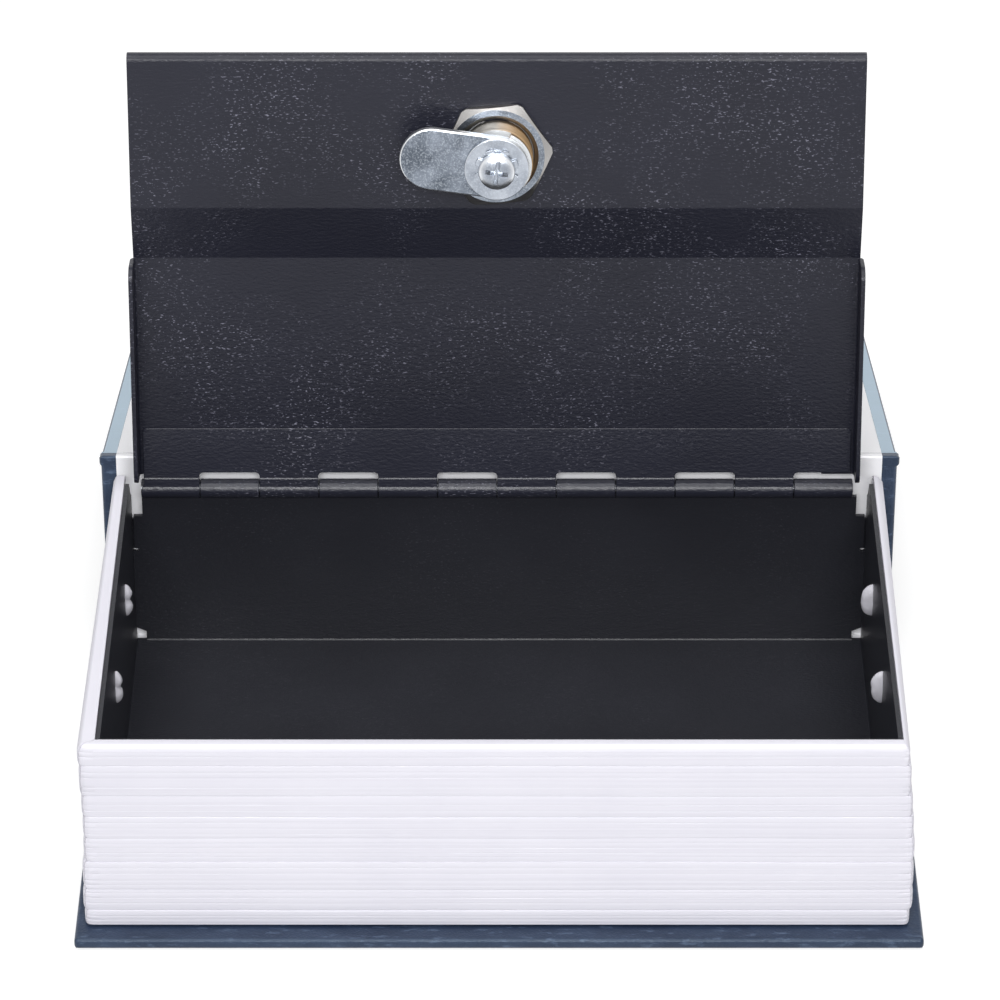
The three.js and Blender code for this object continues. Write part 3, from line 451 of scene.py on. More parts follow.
# The sleeve of cloth round the spine's edge, as (degrees, radius in mm). It clears the fold's corner
# at 135 degrees, and narrows towards its hem, which goes inside the fold when the cover lies open.
sleeve_inside = [
    (195, 1.45), (180, 1.45), (165, 1.45), (150, 1.45), (135, 1.45), (120, 1.44), (105, 1.4),
    (90, 1.36), (75, 1.35), (60, 1.34), (45, 1.28), (30, 1.21), (20, 1.17)]
sleeve_outside = [
    (20, 1.24), (30, 1.28), (45, 1.37), (60, 1.47), (75, 1.5), (90, 1.51), (104, 1.54),
    (116, 1.78), (124, 1.8), (132, 1.8), (140, 1.8), (148, 1.8)]
tongue_thickness = 0.12 * mm
joint = drawn_out(
    "cover_joint_cloth",
    [(joint_start, joint_topside), (joint_start, joint_underside), (tongue_end, joint_underside),
     (tongue_end, joint_underside + tongue_thickness)]
    + [arc(radius * mm, angle, angle, 1)[0] for angle, radius in sleeve_inside + sleeve_outside],
    -case_high.x, case_high.x)
joint.data.transform(cover_frame)
round_edges(joint, 0.5 * mm, 3, 60, on_case_side)
smooth(joint, 50)
dress(joint, leatherette, "front_cover", "blue_cloth")
paint_sheen_inside(joint)

# The paper inside the case: one endpaper over the front cover's turned-in cloth, one that runs from
# the fold down the spine, behind the hinge, and on to the back cover, and one under the steel box.
paper, tree, shader = plain_material("white paper", (0.94, 0.94, 0.97), 0.42)
shader.inputs["Specular IOR Level"].default_value = 0.8
fibres = use_grain(tree, 1800.0, 3.0)
bump(tree, shader, fibres.outputs["Height"], 0.00002)
tree.links.new(
    mix_colors(tree, fibres.outputs["Height"], (0.91, 0.91, 0.95), (0.97, 0.97, 0.99)),
    shader.inputs["Base Color"])
nodes["back_endpaper"].material_slots[0].material = paper

cover_paper_low, cover_paper_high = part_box("front_endpaper")
paper_half = cover_paper_high.x
fore_edge = (cover_frame.inverted() @ Vector((0, cover_paper_high.y, cover_paper_low.z))).y
endpaper = drawn_out(
    "front_endpaper_sheet",
    [(fore_edge, joint_underside + 0.1 * mm), (fore_edge, joint_underside - paper_proud),
     (tongue_end, joint_underside - paper_proud), (tongue_end, joint_underside + 0.1 * mm)],
    -paper_half, paper_half)
endpaper.data.transform(cover_frame)
smooth(endpaper, 40)
dress(endpaper, paper, "front_cover", "white_paper", "front_endpaper")

# The lining's own bend at the back cover is a small slant, and its hidden side goes into the cloth
box_low, box_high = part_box("box_shell")
face = -bead_radius - paper_proud
bend = 0.3 * mm
under_box = box_high.y - 0.3 * mm - crease.y
on_cover = cover_thickness + paper_proud - crease.z
buried_face = face + 0.3 * mm
buried_floor = on_cover - 0.2 * mm
lining = drawn_out(
    "spine_lining_paper",
    [(under_box, on_cover), (face - bend, on_cover), (face, on_cover + bend)]
    + over_the_fold(face, 0.03 * mm, lining_end)
    + [(lining_end, cover_plane(lining_end, 0.12 * mm)),
       (buried_face, cover_plane(buried_face, 0.5 * mm)),
       (buried_face, buried_floor), (under_box, buried_floor)],
    -paper_half, paper_half)
lining.data.transform(Matrix.Translation(crease))
smooth(lining, 40)
dress(lining, paper, "root", "white_paper", "spine_lining")

# The page block: three moulded panels of white plastic, mitred at the front corners. Their ribs
# look like the signatures of a sewn book, with finer lines for the leaves. Melted pegs hold them.
plastic, tree, shader = plain_material("white plastic", (0.87, 0.86, 0.9), 0.45)
mottle = use_grain(tree, 60.0, 3.0)
leaves = use_grain(tree, 260.0, 4.0, 0.5, 0.75, stretch=(0.05, 0.05, 10.0))
shade = mix_colors(tree, mottle.outputs["Height"], (0.67, 0.66, 0.73), (0.73, 0.72, 0.78))
faint = product(tree, leaves.outputs["Peaks"], 0.5)
tree.links.new(mix_colors(tree, faint, shade, (0.6, 0.59, 0.66)), shader.inputs["Base Color"])
bump(tree, shader, leaves.outputs["Height"], 0.00005, 0.4)

page_low, page_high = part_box("page_block_front")
side_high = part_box("page_block_right")[1]
panel_gap = 0.1 * mm
panel_inner_x = box_high.x + panel_gap
panel_depth = side_high.x - panel_inner_x
panel_inner_y = box_low.y - panel_gap
page_back = side_high.y
page_tall = page_high.z - page_low.z
signature_heights = [15.5, 21, 28, 24, 21, 21, 30, 20]
reaches = {
    -1: [3.75, 3.95, 3.8, 3.3, 3.2, 3.3, 3.55, 3.75],
    0: [2.95, 2.85, 2.9, 2.75, 2.8, 2.7, 2.75, 2.7],
    1: [2.95, 3.45, 3.4, 3.35, 2.95, 2.5, 1.95, 1.45],
}
leaf_lines = [
    (0.2, 0.42, 0.66), (0.36, 0.6, 0.84), (0.16, 0.34, 0.58, 0.8), (0.24, 0.4, 0.6, 0.82),
    (0.22, 0.5, 0.74), (0.3, 0.6), (0.14, 0.3, 0.62, 0.8), (0.45, 0.7),
]
groove = 0.17 * mm
top_round = 1.25 * mm
side_groove_share = 1.6
line_depth = 0.06 * mm
line_half = 0.13 * mm
panel_wall = 1.1 * mm
panel_rim = 1.2 * mm
rim_edge = 0.15 * mm
shadow_line = (0.6 * mm, page_low.z + 0.24 * mm)
bottoms = [page_low.z]
for height in signature_heights:
    bottoms.append(bottoms[-1] + page_tall * height / sum(signature_heights))


def page_section():
    """The closed section of a page panel as (out, z) points, out being 0 at the box."""
    shoulders = [0.995, 0.97, 0.92, 0.84, 0.7, 0.45, 0.15]
    points = [(panel_depth - shadow_line[0], bottoms[0]), (panel_depth - shadow_line[0], shadow_line[1])]
    for low, high, lines in zip(bottoms, bottoms[1:], leaf_lines):
        tall = high - low
        rows = {low + tall * (1 + sign * s) / 2 for s in shoulders for sign in (-1, 1)}
        marks = [low + tall * share for share in lines]
        rows |= {mark + shift * line_half for mark in marks for shift in (-1, 0, 1)}
        for z in sorted(z for z in rows if z > shadow_line[1]):
            from_middle = 2 * (z - low) / tall - 1
            edge = top_round if high == bottoms[-1] and from_middle > 0 else groove
            out = panel_depth - edge * (1 - math.sqrt(1 - from_middle ** 4))
            near = min(abs(z - mark) for mark in marks)
            points.append((out - line_depth * max(0.0, 1 - near / line_half), z))
    inside = panel_depth - groove - panel_wall
    top, bottom = page_high.z, page_low.z
    return points + [
        (rim_edge, top), (0, top - rim_edge), (0, top - panel_rim), (inside, top - panel_rim),
        (inside, bottom + panel_rim), (0, bottom + panel_rim), (0, bottom)]


def ring_of(name, corners):
    """A closed ring of edges through the given corners, left selected in edit mode."""
    bpy.ops.object.select_all(action="DESELECT")
    bpy.ops.mesh.primitive_circle_add(vertices=len(corners), fill_type="NOTHING")
    piece = bpy.context.object
    piece.name = name
    for vertex, corner in zip(piece.data.vertices, corners):
        vertex.co = corner
    bpy.ops.object.mode_set(mode="EDIT")
    bpy.ops.mesh.select_mode(type="EDGE")
    bpy.ops.mesh.select_all(action="SELECT")
    return piece


def carry(offset, steps):
    for _ in range(steps):
        bpy.ops.mesh.extrude_region_move(TRANSFORM_OT_translate={"value": tuple(offset / steps)})


def closed_up(piece):
    """Merges a swept piece's doubles, points its faces out and leaves edit mode."""
    bpy.ops.mesh.select_all(action="SELECT")
    bpy.ops.mesh.remove_doubles(threshold=2e-6)
    bpy.ops.mesh.normals_make_consistent(inside=False)
    bpy.ops.object.mode_set(mode="OBJECT")


def reach_of(side, out, z):
    """How far a point of the section stands out on a side: -1 left, 0 front, 1 right."""
    number = max(0, sum(z > bottom for bottom in bottoms) - 1)
    full = reaches[side][min(number, len(leaf_lines) - 1)] * mm
    if out < panel_depth - top_round - 0.2 * mm:
        return out * full / panel_depth
    drop = panel_depth - out
    return full - drop - (side_groove_share if side else 0) * min(drop, groove)


def settle(piece):
    """Gives a swept panel its uneven leaves: no two signatures stand out alike or lie quite straight."""
    for vertex in piece.data.vertices:
        x, y, z = vertex.co
        side = math.copysign(1, x)
        out_x, out_y = abs(x) - panel_inner_x, panel_inner_y - y
        back_share = min(1.0, max(0.0, -out_y / (page_back - panel_inner_y)))
        height_share = (z - page_low.z) / page_tall
        taper = 1 - back_share * (0.3 if side < 0 else 0.2 - 0.75 * height_share)
        out = math.hypot(max(0.0, out_x), max(0.0, out_y))
        if out < 1e-6:
            continue
        turn = math.atan2(max(0.0, out_x), max(0.0, out_y))
        across, ahead = math.sin(turn), math.cos(turn)
        square = (across ** 5 + ahead ** 5) ** (-1 / 5)
        along = Vector((x * 28, y * 28, z * 160))
        inside = min(z - page_low.z, page_high.z - z)
        stir = min(1.0, max(0.0, (inside - 0.6 * mm) / (2 * mm))) if out > 1.3 * mm else 0.0
        if across > 1e-6:
            wide = reach_of(side, out, z) * taper
            wide += stir * 0.1 * mm * noise.noise(along + Vector((7, 0, 0)))
            vertex.co.x = side * (panel_inner_x + wide * across * square)
        if ahead > 1e-6:
            deep = reach_of(0, out, z) + stir * 0.06 * mm * noise.noise(along + Vector((3, 5, 0)))
            vertex.co.y = panel_inner_y - deep * ahead * square
        vertex.co.z += stir * 0.14 * mm * noise.noise(along)


def peg_head(place, inward, deep, split):
    """A melted peg's head inside the box: two lobes, or one long leaf shape, on a stem."""
    bpy.ops.object.select_all(action="DESELECT")
    bpy.ops.mesh.primitive_uv_sphere_add(segments=24, ring_count=18, radius=1, location=(0, 0, 0))
    head = bpy.context.object
    tall, wide = 4.1 * mm, 1.6 * mm
    for vertex in head.data.vertices:
        waist = 1 - split * math.exp(-((vertex.co.z - 0.05) / 0.22) ** 2)
        point = 1 - (1 - split) * 0.3 * vertex.co.z ** 2
        bumpy = 1 + 0.16 * noise.noise(vertex.co * 2.3 + place * 900)
        vertex.co = Vector((
            deep * vertex.co.x * bumpy * waist, wide * vertex.co.y * waist * point * bumpy,
            tall * vertex.co.z))
    if abs(inward.x) < 0.5:
        head.data.transform(Matrix.Rotation(math.radians(90), 4, "Z"))
    head.data.transform(Matrix.Translation(place))
    bpy.ops.mesh.primitive_cylinder_add(
        vertices=24, radius=1.45 * mm, depth=3 * mm, location=place - inward * 1.4 * mm,
        rotation=(0, math.radians(90), 0) if abs(inward.x) > 0.5 else (math.radians(90), 0, 0))
    stem = bpy.context.object
    pick(head)
    stem.select_set(True)
    bpy.ops.object.join()
    return head


section = page_section()
mitre_angle = math.radians(43.6)
corner_steps = 7
station = 4 * mm
peg_height = 31.5 * mm
peg_sink = 0.9 * mm
front_peg_x = 59.9 * mm
peg_places = [Vector((0, y, peg_height)) for y in (-41.5 * mm, -7.05 * mm, 27.4 * mm)]

panel = ring_of(
    "page_block_front_moulding", [(-panel_inner_x, panel_inner_y - out, z) for out, z in section])
carry(Vector((2 * panel_inner_x, 0, 0)), round(2 * panel_inner_x / station))
bpy.ops.mesh.spin(
    steps=corner_steps, angle=-mitre_angle, center=(panel_inner_x, panel_inner_y, 0), axis=(0, 0, 1))
bpy.ops.mesh.edge_face_add()
select_where(panel, "edges", lambda edge: all(abs(v.co.x + panel_inner_x) < 1e-6 for v in edge.verts))
bpy.ops.mesh.spin(
    steps=corner_steps, angle=mitre_angle, center=(-panel_inner_x, panel_inner_y, 0), axis=(0, 0, 1))
bpy.ops.mesh.edge_face_add()
closed_up(panel)
settle(panel)
heads = [
    peg_head(
        Vector((side * front_peg_x, box_low.y + peg_sink, peg_height)), Vector((0, 1, 0)),
        1.5 * mm, 0.45)
    for side in (-1, 1)
]
pick(panel)
for head in heads:
    head.select_set(True)
bpy.ops.object.join()
smooth(panel, 50)
dress(panel, plastic, "root", "white_plastic", "page_block_front")

for side, node in ((-1, "page_block_left"), (1, "page_block_right")):
    inner = side * panel_inner_x
    panel = ring_of(node + "_moulding", [(inner + side * out, panel_inner_y, z) for out, z in section])
    length = page_back - panel_inner_y
    softness = 0.9 * mm
    carry(Vector((0, length - softness, 0)), round(length / station))
    middle = Vector((inner, 0, (page_low.z + page_high.z) / 2))
    half_height = (page_high.z - page_low.z) / 2
    last_out, last_along = 0.0, 0.0
    for i in range(1, 6):
        turn = math.radians(90 * i / 5)
        shrink, along = softness * (1 - math.cos(turn)), softness * math.sin(turn)
        bpy.ops.mesh.extrude_region_move(TRANSFORM_OT_translate={"value": (0, along - last_along, 0)})
        bpy.ops.transform.resize(value=(
            (panel_depth - shrink) / (panel_depth - last_out), 1,
            (half_height - shrink) / (half_height - last_out)), center_override=middle)
        last_out, last_along = shrink, along
    bpy.ops.mesh.edge_face_add()
    select_where(panel, "edges", lambda edge: all(abs(v.co.y - panel_inner_y) < 1e-6 for v in edge.verts))
    bpy.ops.mesh.spin(
        steps=corner_steps, angle=side * mitre_angle, center=(inner, panel_inner_y, 0), axis=(0, 0, 1))
    bpy.ops.mesh.edge_face_add()
    closed_up(panel)
    settle(panel)
    heads = [
        peg_head(
            Vector((side * (box_high.x - peg_sink), 0, 0)) + peg, Vector((-side, 0, 0)),
            (2.1 + side * 0.5) * mm, 0.25 - side * 0.2)
        for peg in peg_places
    ]
    pick(panel)
    for head in heads:
        head.select_set(True)
    bpy.ops.object.join()
    smooth(panel, 50)
    dress(panel, plastic, "root", "white_plastic", node)

# The steel box, folded from one sheet, with the strike for the cam inside its front wall. Both are
# powder coated black, a fine rippled coat that glints where the light catches its peaks, and whose
# pale specks in its colour are partly flecks and partly painted glints.


def powder_coat(name, low, high, flake_and_glint, gloss):
    """The black coat: an uneven ground of two colours, with pale flecks in loose clusters, partly painted
    glints.
    """
    material, tree, shader = plain_material(name, (0.014, 0.015, 0.022), 0.33)
    shader.inputs["Specular IOR Level"].default_value = gloss
    ripple = use_grain(tree, 1700.0, 3.0, stretch=(0.5, 1.0, 1.0))
    bump(tree, shader, ripple.outputs["Height"], 0.00012, 0.9)
    # Pale flecks in the coat's colour, which stand partly for painted glints
    flecks_and_glints = use_grain(tree, 3000.0, 1.5, 0.61, 0.72, stretch=(0.42, 1.0, 1.0))
    clusters = use_grain(tree, 34.0, 2.0, 0.4, 0.66)
    fleck_and_glint_share = product(tree, flecks_and_glints.outputs["Peaks"], clusters.outputs["Peaks"])
    depths = use_grain(tree, 30.0, 2.0)
    ground = mix_colors(tree, depths.outputs["Height"], low, high)
    tree.links.new(mix_colors(tree, fleck_and_glint_share, ground, flake_and_glint), shader.inputs["Base Color"])
    return material


coat = powder_coat(
    "black powder coat", (0.009, 0.0095, 0.016), (0.018, 0.019, 0.031), (0.22, 0.22, 0.28), 0.25)
# The box's copy of the coat: a lighter ground, painted light that lifts its shaded inside, and hardly any
# pale flecks.
box_coat_painted_lighter = powder_coat(
    "black powder coat, inside", (0.013, 0.0135, 0.018), (0.023, 0.024, 0.031), (0.04, 0.04, 0.05), 0.33)


def block(low, high):
    """A plain block between two corners."""
    bpy.ops.object.select_all(action="DESELECT")
    bpy.ops.mesh.primitive_cube_add(size=1, location=(0, 0, 0))
    piece = bpy.context.object
    size = Vector(high) - Vector(low)
    piece.data.transform(Matrix.Translation(Vector(low) + size / 2) @ Matrix.Diagonal((*size, 1)))
    return piece


seam_low, seam_high, seam_wide, backing_sheet = 28 * mm, 36 * mm, 2.4 * mm, 0.5 * mm
for name in ("box_shell", "strike_bracket"):
    piece = merged_copy(name, name + "_steel")
    round_edges(piece, 0.14 * mm, 2, 50)
    if name == "box_shell":
        # A dark sheet behind the back wall closes each corner seam: painted shade, so that the seam shows
        # as a dim line
        tabs = [
            block((x - seam_wide / 2, box_high.y + 0.02 * mm, seam_low),
                  (x + seam_wide / 2, box_high.y + backing_sheet, seam_high))
            for x in (seam_wide / 2 - box_high.x, box_high.x - seam_wide / 2)
        ]
        pick(piece)
        for tab in tabs:
            tab.select_set(True)
        bpy.ops.object.join()
    smooth(piece, 40)
    dress(piece, box_coat_painted_lighter, "root", "black_coat", name)

# The piano hinge: two leaves whose tabs are rolled round one pin into knuckles, coated with the box
# and the lid that they are spot welded to.
hinge = Vector(joints["lid_hinge"]["pos_m"])
lid_turn = math.radians(joints["lid_hinge"]["range_deg"][1])
lid_frame = Matrix.Translation(hinge) @ Matrix.Rotation(-lid_turn, 4, "X")
hinge_low, hinge_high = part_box("hinge_pin")
hinge_half = (hinge_high.x - hinge_low.x) / 2
knuckle_count = 12
knuckle_pitch = 2 * hinge_half / knuckle_count
knuckle_gap = 0.1 * mm
barrel_radius = 2.15 * mm
leaf_sheet = 0.8 * mm
notch_reach = 4.5 * mm
leaf_corner = 1 * mm
leaf_half = hinge_half - 0.8 * mm
roll_degrees = 318


def quarter(u, v, start, clockwise):
    """A quarter round of the leaf's corner radius about (u, v), from an angle in degrees."""
    turn = -90 if clockwise else 90
    return [(u + du, v + dv) for du, dv in arc(leaf_corner, start, start + turn, 5)]


def leaf_outline(length, first_tab):
    """A leaf as (along the pin, from the pin) points: tabs at every second knuckle, notches between."""
    points = []
    for i in range(knuckle_count):
        u0 = -hinge_half + i * knuckle_pitch
        u1 = u0 + knuckle_pitch
        if i % 2 == first_tab:
            points += [(u0 + knuckle_gap, 0), (u1 - knuckle_gap, 0)]
            continue
        left, right = u0 - knuckle_gap, u1 + knuckle_gap
        if i > 0:
            points += quarter(left + leaf_corner, -notch_reach + leaf_corner, 180, False)
        else:
            points.append((-leaf_half, -notch_reach))
        if i < knuckle_count - 1:
            points += quarter(right - leaf_corner, -notch_reach + leaf_corner, 270, False)
        else:
            points.append((leaf_half, -notch_reach))
    far = -length + leaf_corner
    if first_tab == 0:
        points = [(-leaf_half, -barrel_radius)] + points
    else:
        points.append((leaf_half, -barrel_radius))
    return points + quarter(leaf_half - leaf_corner, far, 0, True) + quarter(
        -leaf_half + leaf_corner, far, 270, True)


# Where the near face of the lid's leaf lies: round the pin, level along the tab, then a step back
tab_face = [(0, -2.15), (-0.25, -2.135), (-0.5, -2.091), (-0.75, -2.015), (-1, -1.903), (-1.15, -1.86),
            (-2.85, -1.88), (-3, -1.84), (-3.15, -1.76), (-3.3, -1.72), (-20, -1.72)]


def along_tab(v):
    for (v0, z0), (v1, z1) in zip(tab_face, tab_face[1:]):
        if v >= v1 * mm:
            return z0 * mm + (z1 - z0) * (v - v0 * mm) / (v1 - v0)


def hinge_leaf(name, length, first_tab, place, stepped=False):
    """A leaf drawn as a flat sheet, its tabs then rolled round the pin. place maps (u, v, height)."""
    outline = leaf_outline(length, first_tab)
    bpy.ops.object.select_all(action="DESELECT")
    bpy.ops.mesh.primitive_circle_add(vertices=len(outline), fill_type="NGON")
    piece = bpy.context.object
    piece.name = name
    for vertex, (u, v) in zip(piece.data.vertices, outline):
        vertex.co = (u, v, -barrel_radius)
    bpy.ops.object.mode_set(mode="EDIT")
    bpy.ops.mesh.select_all(action="SELECT")
    bpy.ops.mesh.extrude_region_move(TRANSFORM_OT_translate={"value": (0, 0, leaf_sheet)})
    select_where(piece, "faces", lambda face: all(abs(v.co.y) < 1e-7 for v in face.verts))
    bpy.ops.mesh.spin(
        steps=44, angle=-math.radians(roll_degrees), center=(0, 0, 0), axis=(1, 0, 0),
        use_auto_merge=False)
    closed_up(piece)
    if stepped:
        bpy.ops.object.mode_set(mode="EDIT")
        for v, _ in tab_face[1:-1]:
            bpy.ops.mesh.select_all(action="SELECT")
            bpy.ops.mesh.bisect(plane_co=(0, v * mm, 0), plane_no=(0, 1, 0))
        bpy.ops.object.mode_set(mode="OBJECT")
        for vertex in piece.data.vertices:
            if abs(vertex.co.z + barrel_radius) < 1e-6 and vertex.co.y < -1e-6:
                vertex.co.z = along_tab(vertex.co.y)
    piece.data.transform(place)
    round_edges(piece, 0.16 * mm, 3, 60)
    smooth(piece, 40)
    return piece


# The hinge's copy of the coat: a lighter ground and brighter flecks, painted light and painted glints for
# the leaf and the barrels' highlight.
hinge_coat_painted_brighter = powder_coat(
    "black powder coat, hinge", (0.012, 0.0128, 0.021), (0.021, 0.0222, 0.036), (0.26, 0.26, 0.32), 0.4)
lid_leaf = hinge_leaf("hinge_lid_leaf_steel", 15.2 * mm, 0, lid_frame, stepped=True)
dress(lid_leaf, hinge_coat_painted_brighter, "lid", "black_coat", "hinge_lid_leaf")
hang_down = Matrix.Translation(hinge) @ Matrix.Rotation(math.radians(90), 4, "X")
box_leaf = hinge_leaf("hinge_box_leaf_steel", 14.4 * mm, 1, hang_down)
dress(box_leaf, hinge_coat_painted_brighter, "root", "black_coat", "hinge_box_leaf")

# Kept darker than bare steel, a painted shade that keeps the pin's ends dark inside the barrel.
steel, tree, shader = plain_material("drawn steel", (0.3, 0.31, 0.33), 0.55, 1.0)
draw_lines = use_grain(tree, 3000.0, 3.0, stretch=(0.05, 1.0, 1.0))
bump(tree, shader, draw_lines.outputs["Height"], 0.00001)
for name in ["hinge_pin"] + [f"wafer_spring_{i}" for i in range(1, 5)]:
    nodes[name].material_slots[0].material = steel

# The lid: sheet steel with a flange down each side and a sunk shelf that carries the lock.
lid = merged_copy("lid_panel", "lid_steel")
round_edges(lid, 0.14 * mm, 2, 50)
smooth(lid, 40)
dress(lid, coat, "lid", "black_coat", "lid_panel")

# The cam lock: a brass housing held by a hex nut, and a plug whose tail carries the stop washer, the
# cam, a plain washer and a toothed washer under a cross-head screw. All but the housing is zinc plated.
lock_joint = joints["lock_turn"]
lock_spot = lid_frame.inverted() @ Vector(lock_joint["pos_m"])
lock_frame = lid_frame @ Matrix.Translation((lock_spot.x, lock_spot.y, 0))
rest_turn = math.radians(-lock_joint["range_deg"][0])
plug_frame = lock_frame @ Matrix.Rotation(rest_turn, 4, "Z")


def local_box(node, place):
    """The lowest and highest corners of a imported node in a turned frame."""
    corners = [place.inverted() @ v.co for v in nodes[node].data.vertices]
    low = Vector([min(c[i] for c in corners) for i in range(3)])
    high = Vector([max(c[i] for c in corners) for i in range(3)])
    return low, high


def turned(name, section, steps=96):
    """A piece turned on a lathe: a closed section of (radius, height) points, spun round the axis."""
    piece = ring_of(name, [(radius, 0, height) for radius, height in section])
    bpy.ops.mesh.spin(steps=steps, angle=math.radians(360), center=(0, 0, 0), axis=(0, 0, 1))
    closed_up(piece)
    return piece


def cut(piece, cutter, operation="DIFFERENCE"):
    """Cuts a piece by another one, which is used up."""
    pick(piece)
    tool = piece.modifiers.new("cut", "BOOLEAN")
    tool.object = cutter
    tool.operation = operation
    tool.solver = "EXACT"
    bpy.ops.object.modifier_apply(modifier=tool.name)
    bpy.data.objects.remove(cutter)


def plate(name, corners, low, high):
    """A flat plate between two heights, from its outline in (x, y)."""
    bpy.ops.object.select_all(action="DESELECT")
    bpy.ops.mesh.primitive_circle_add(vertices=len(corners), fill_type="NGON")
    piece = bpy.context.object
    piece.name = name
    for vertex, (x, y) in zip(piece.data.vertices, corners):
        vertex.co = (x, y, low)
    bpy.ops.object.mode_set(mode="EDIT")
    bpy.ops.mesh.select_all(action="SELECT")
    bpy.ops.mesh.extrude_region_move(TRANSFORM_OT_translate={"value": (0, 0, high - low)})
    closed_up(piece)
    return piece


# End on: 1 where a lock piece's surface faces along the lock's axis, and 0 on its sides and rims, where
# the zinc's highlight is painted
end_on, given, made = new_group("end on", [], [("Share", "NodeSocketFloat")])
place = add_node(end_on, "ShaderNodeTexCoord")
along_axis = add_node(end_on, "ShaderNodeVectorMath", operation="DOT_PRODUCT")
along_axis.inputs[1].default_value = tuple(lock_frame.to_3x3() @ Vector((0, 0, -1)))
share = add_node(end_on, "ShaderNodeMapRange", {"From Min": 0.86, "From Max": 0.98})
end_on.links.new(place.outputs["Normal"], along_axis.inputs[0])
end_on.links.new(along_axis.outputs["Value"], share.inputs["Value"])
end_on.links.new(share.outputs["Result"], made.inputs["Share"])


def use_end_on(tree):
    used = tree.nodes.new("ShaderNodeGroup")
    used.node_tree = end_on
    return used


def zinc_plate(name, dark, pale, rim_highlight):
    """Zinc plate: a painted highlight on its rims; its faces mottled between two colours, with painted
    glints.
    """
    material, tree, shader = plain_material(name, pale, 0.28, 1.0)
    faces = use_end_on(tree)
    spangle = use_grain(tree, 160.0, 3.0, 0.36, 0.66)
    sparkle = use_grain(tree, 2600.0, 4.0, 0.48, 0.74)
    mottled = mix_colors(tree, spangle.outputs["Peaks"], dark, pale)
    glints = product(tree, sparkle.outputs["Peaks"], 0.55)
    sparkling = mix_colors(tree, glints, mottled, (0.56, 0.61, 0.67))
    tree.links.new(
        mix_colors(tree, faces.outputs["Share"], rim_highlight, sparkling), shader.inputs["Base Color"])
    bump(tree, shader, sparkle.outputs["Height"], 0.00003)
    return material


# The last colour of each is its rims' painted highlight.
zinc = zinc_plate("zinc plate", (0.26, 0.285, 0.33), (0.42, 0.45, 0.5), (0.72, 0.74, 0.77))
# The cam's copy: scuffed, with faces darker than the other zinc, a painted shade, and a brighter painted
# rim highlight.
scuffed_zinc_painted_dark = zinc_plate("scuffed zinc plate", (0.09, 0.105, 0.13), (0.24, 0.27, 0.32), (0.86, 0.88, 0.9))
nut_zinc = zinc_plate("yellowed zinc plate", (0.13, 0.15, 0.18), (0.26, 0.29, 0.34), (0.4, 0.385, 0.37))
brass, tree, shader = plain_material("lock brass", (0.66, 0.52, 0.27), 0.5, 1.0)
faces = use_end_on(tree)
# The brass is grey towards -x and golden towards +x, as the neck shows in the photograph
wear = use_grain(tree, 500.0, 3.0)
place = add_node(tree, "ShaderNodeTexCoord")
across = add_node(tree, "ShaderNodeSeparateXYZ")
tree.links.new(place.outputs["Object"], across.inputs[0])
lock_x = lock_joint["pos_m"][0]
tint = add_node(
    tree, "ShaderNodeMapRange", {"From Min": lock_x - 0.5 * mm, "From Max": lock_x + 5 * mm})
tree.links.new(across.outputs["X"], tint.inputs["Value"])
grey_side = mix_colors(tree, wear.outputs["Height"], (0.13, 0.125, 0.12), (0.3, 0.29, 0.27))
golden = mix_colors(tree, tint.outputs["Result"], grey_side, (0.4, 0.27, 0.15))
tree.links.new(
    mix_colors(tree, faces.outputs["Share"], golden, (0.55, 0.56, 0.57)), shader.inputs["Base Color"])
bump(tree, shader, wear.outputs["Height"], 0.00002)

neck_radius = 7.95 * mm
thread_pitch = 0.75 * mm
thread_depth = 0.22 * mm
low, high = local_box("lock_housing", lock_frame)
lug_top = low.z
neck_top = low.z + 1.2 * mm
thread_low = local_box("lock_nut", lock_frame)[1].z
turns = int((thread_low - neck_top) / thread_pitch)
threads = [(neck_radius - 0.3 * mm, neck_top), (neck_radius, neck_top + 0.3 * mm)]
for i in range(turns):
    height = neck_top + 1.2 * mm + i * thread_pitch
    threads += [(neck_radius - thread_depth, height), (neck_radius, height + 0.4 * thread_pitch)]
bore = local_box("lock_plug", plug_frame)[1].x + 0.3 * mm
housing = turned("lock_housing_turned", (
    [(bore, neck_top)] + threads
    + [(neck_radius - thread_depth, high.z - 2.6 * mm), (neck_radius - thread_depth, high.z - 2 * mm),
       (high.x, high.z - 2 * mm), (high.x, high.z - 0.5 * mm), (high.x - 0.7 * mm, high.z),
       (bore, high.z)]))
lug = plate(
    "lug", arc(neck_radius - 0.3 * mm, 294, 516, 48) + arc(6.5 * mm, 516, 294, 48),
    lug_top, neck_top + 0.05 * mm)
pick(housing)
lug.select_set(True)
bpy.ops.object.join()
housing.data.transform(lock_frame)
smooth(housing, 35)
dress(housing, brass, "lid", "lock_brass", "lock_housing")

low, high = local_box("lock_nut", lock_frame)
nut_face, nut_seat = low.z + 0.7 * mm, high.z + 0.25 * mm
nut_turn = math.radians(-5)
nut_corner = 22 * mm / math.sqrt(3)
nut = plate("lock_nut_hex", [
    (nut_corner * math.cos(nut_turn + math.radians(60 * i)),
     nut_corner * math.sin(nut_turn + math.radians(60 * i)))
    for i in range(6)], nut_face - mm, nut_seat + mm)
chamfer = turned("chamfer", [
    (8.35 * mm, nut_seat), (11.7 * mm, nut_seat), (12.35 * mm, nut_seat - 0.45 * mm),
    (12.35 * mm, nut_face + 0.95 * mm), (10.6 * mm, nut_face), (9.3 * mm, nut_face),
    (8.35 * mm, nut_face + 0.8 * mm)])
cut(nut, chamfer, "INTERSECT")
nut.data.transform(lock_frame @ Matrix.Translation((-0.15 * mm, -0.3 * mm, 0)))
round_edges(nut, 0.1 * mm, 2, 24)
smooth(nut, 22)
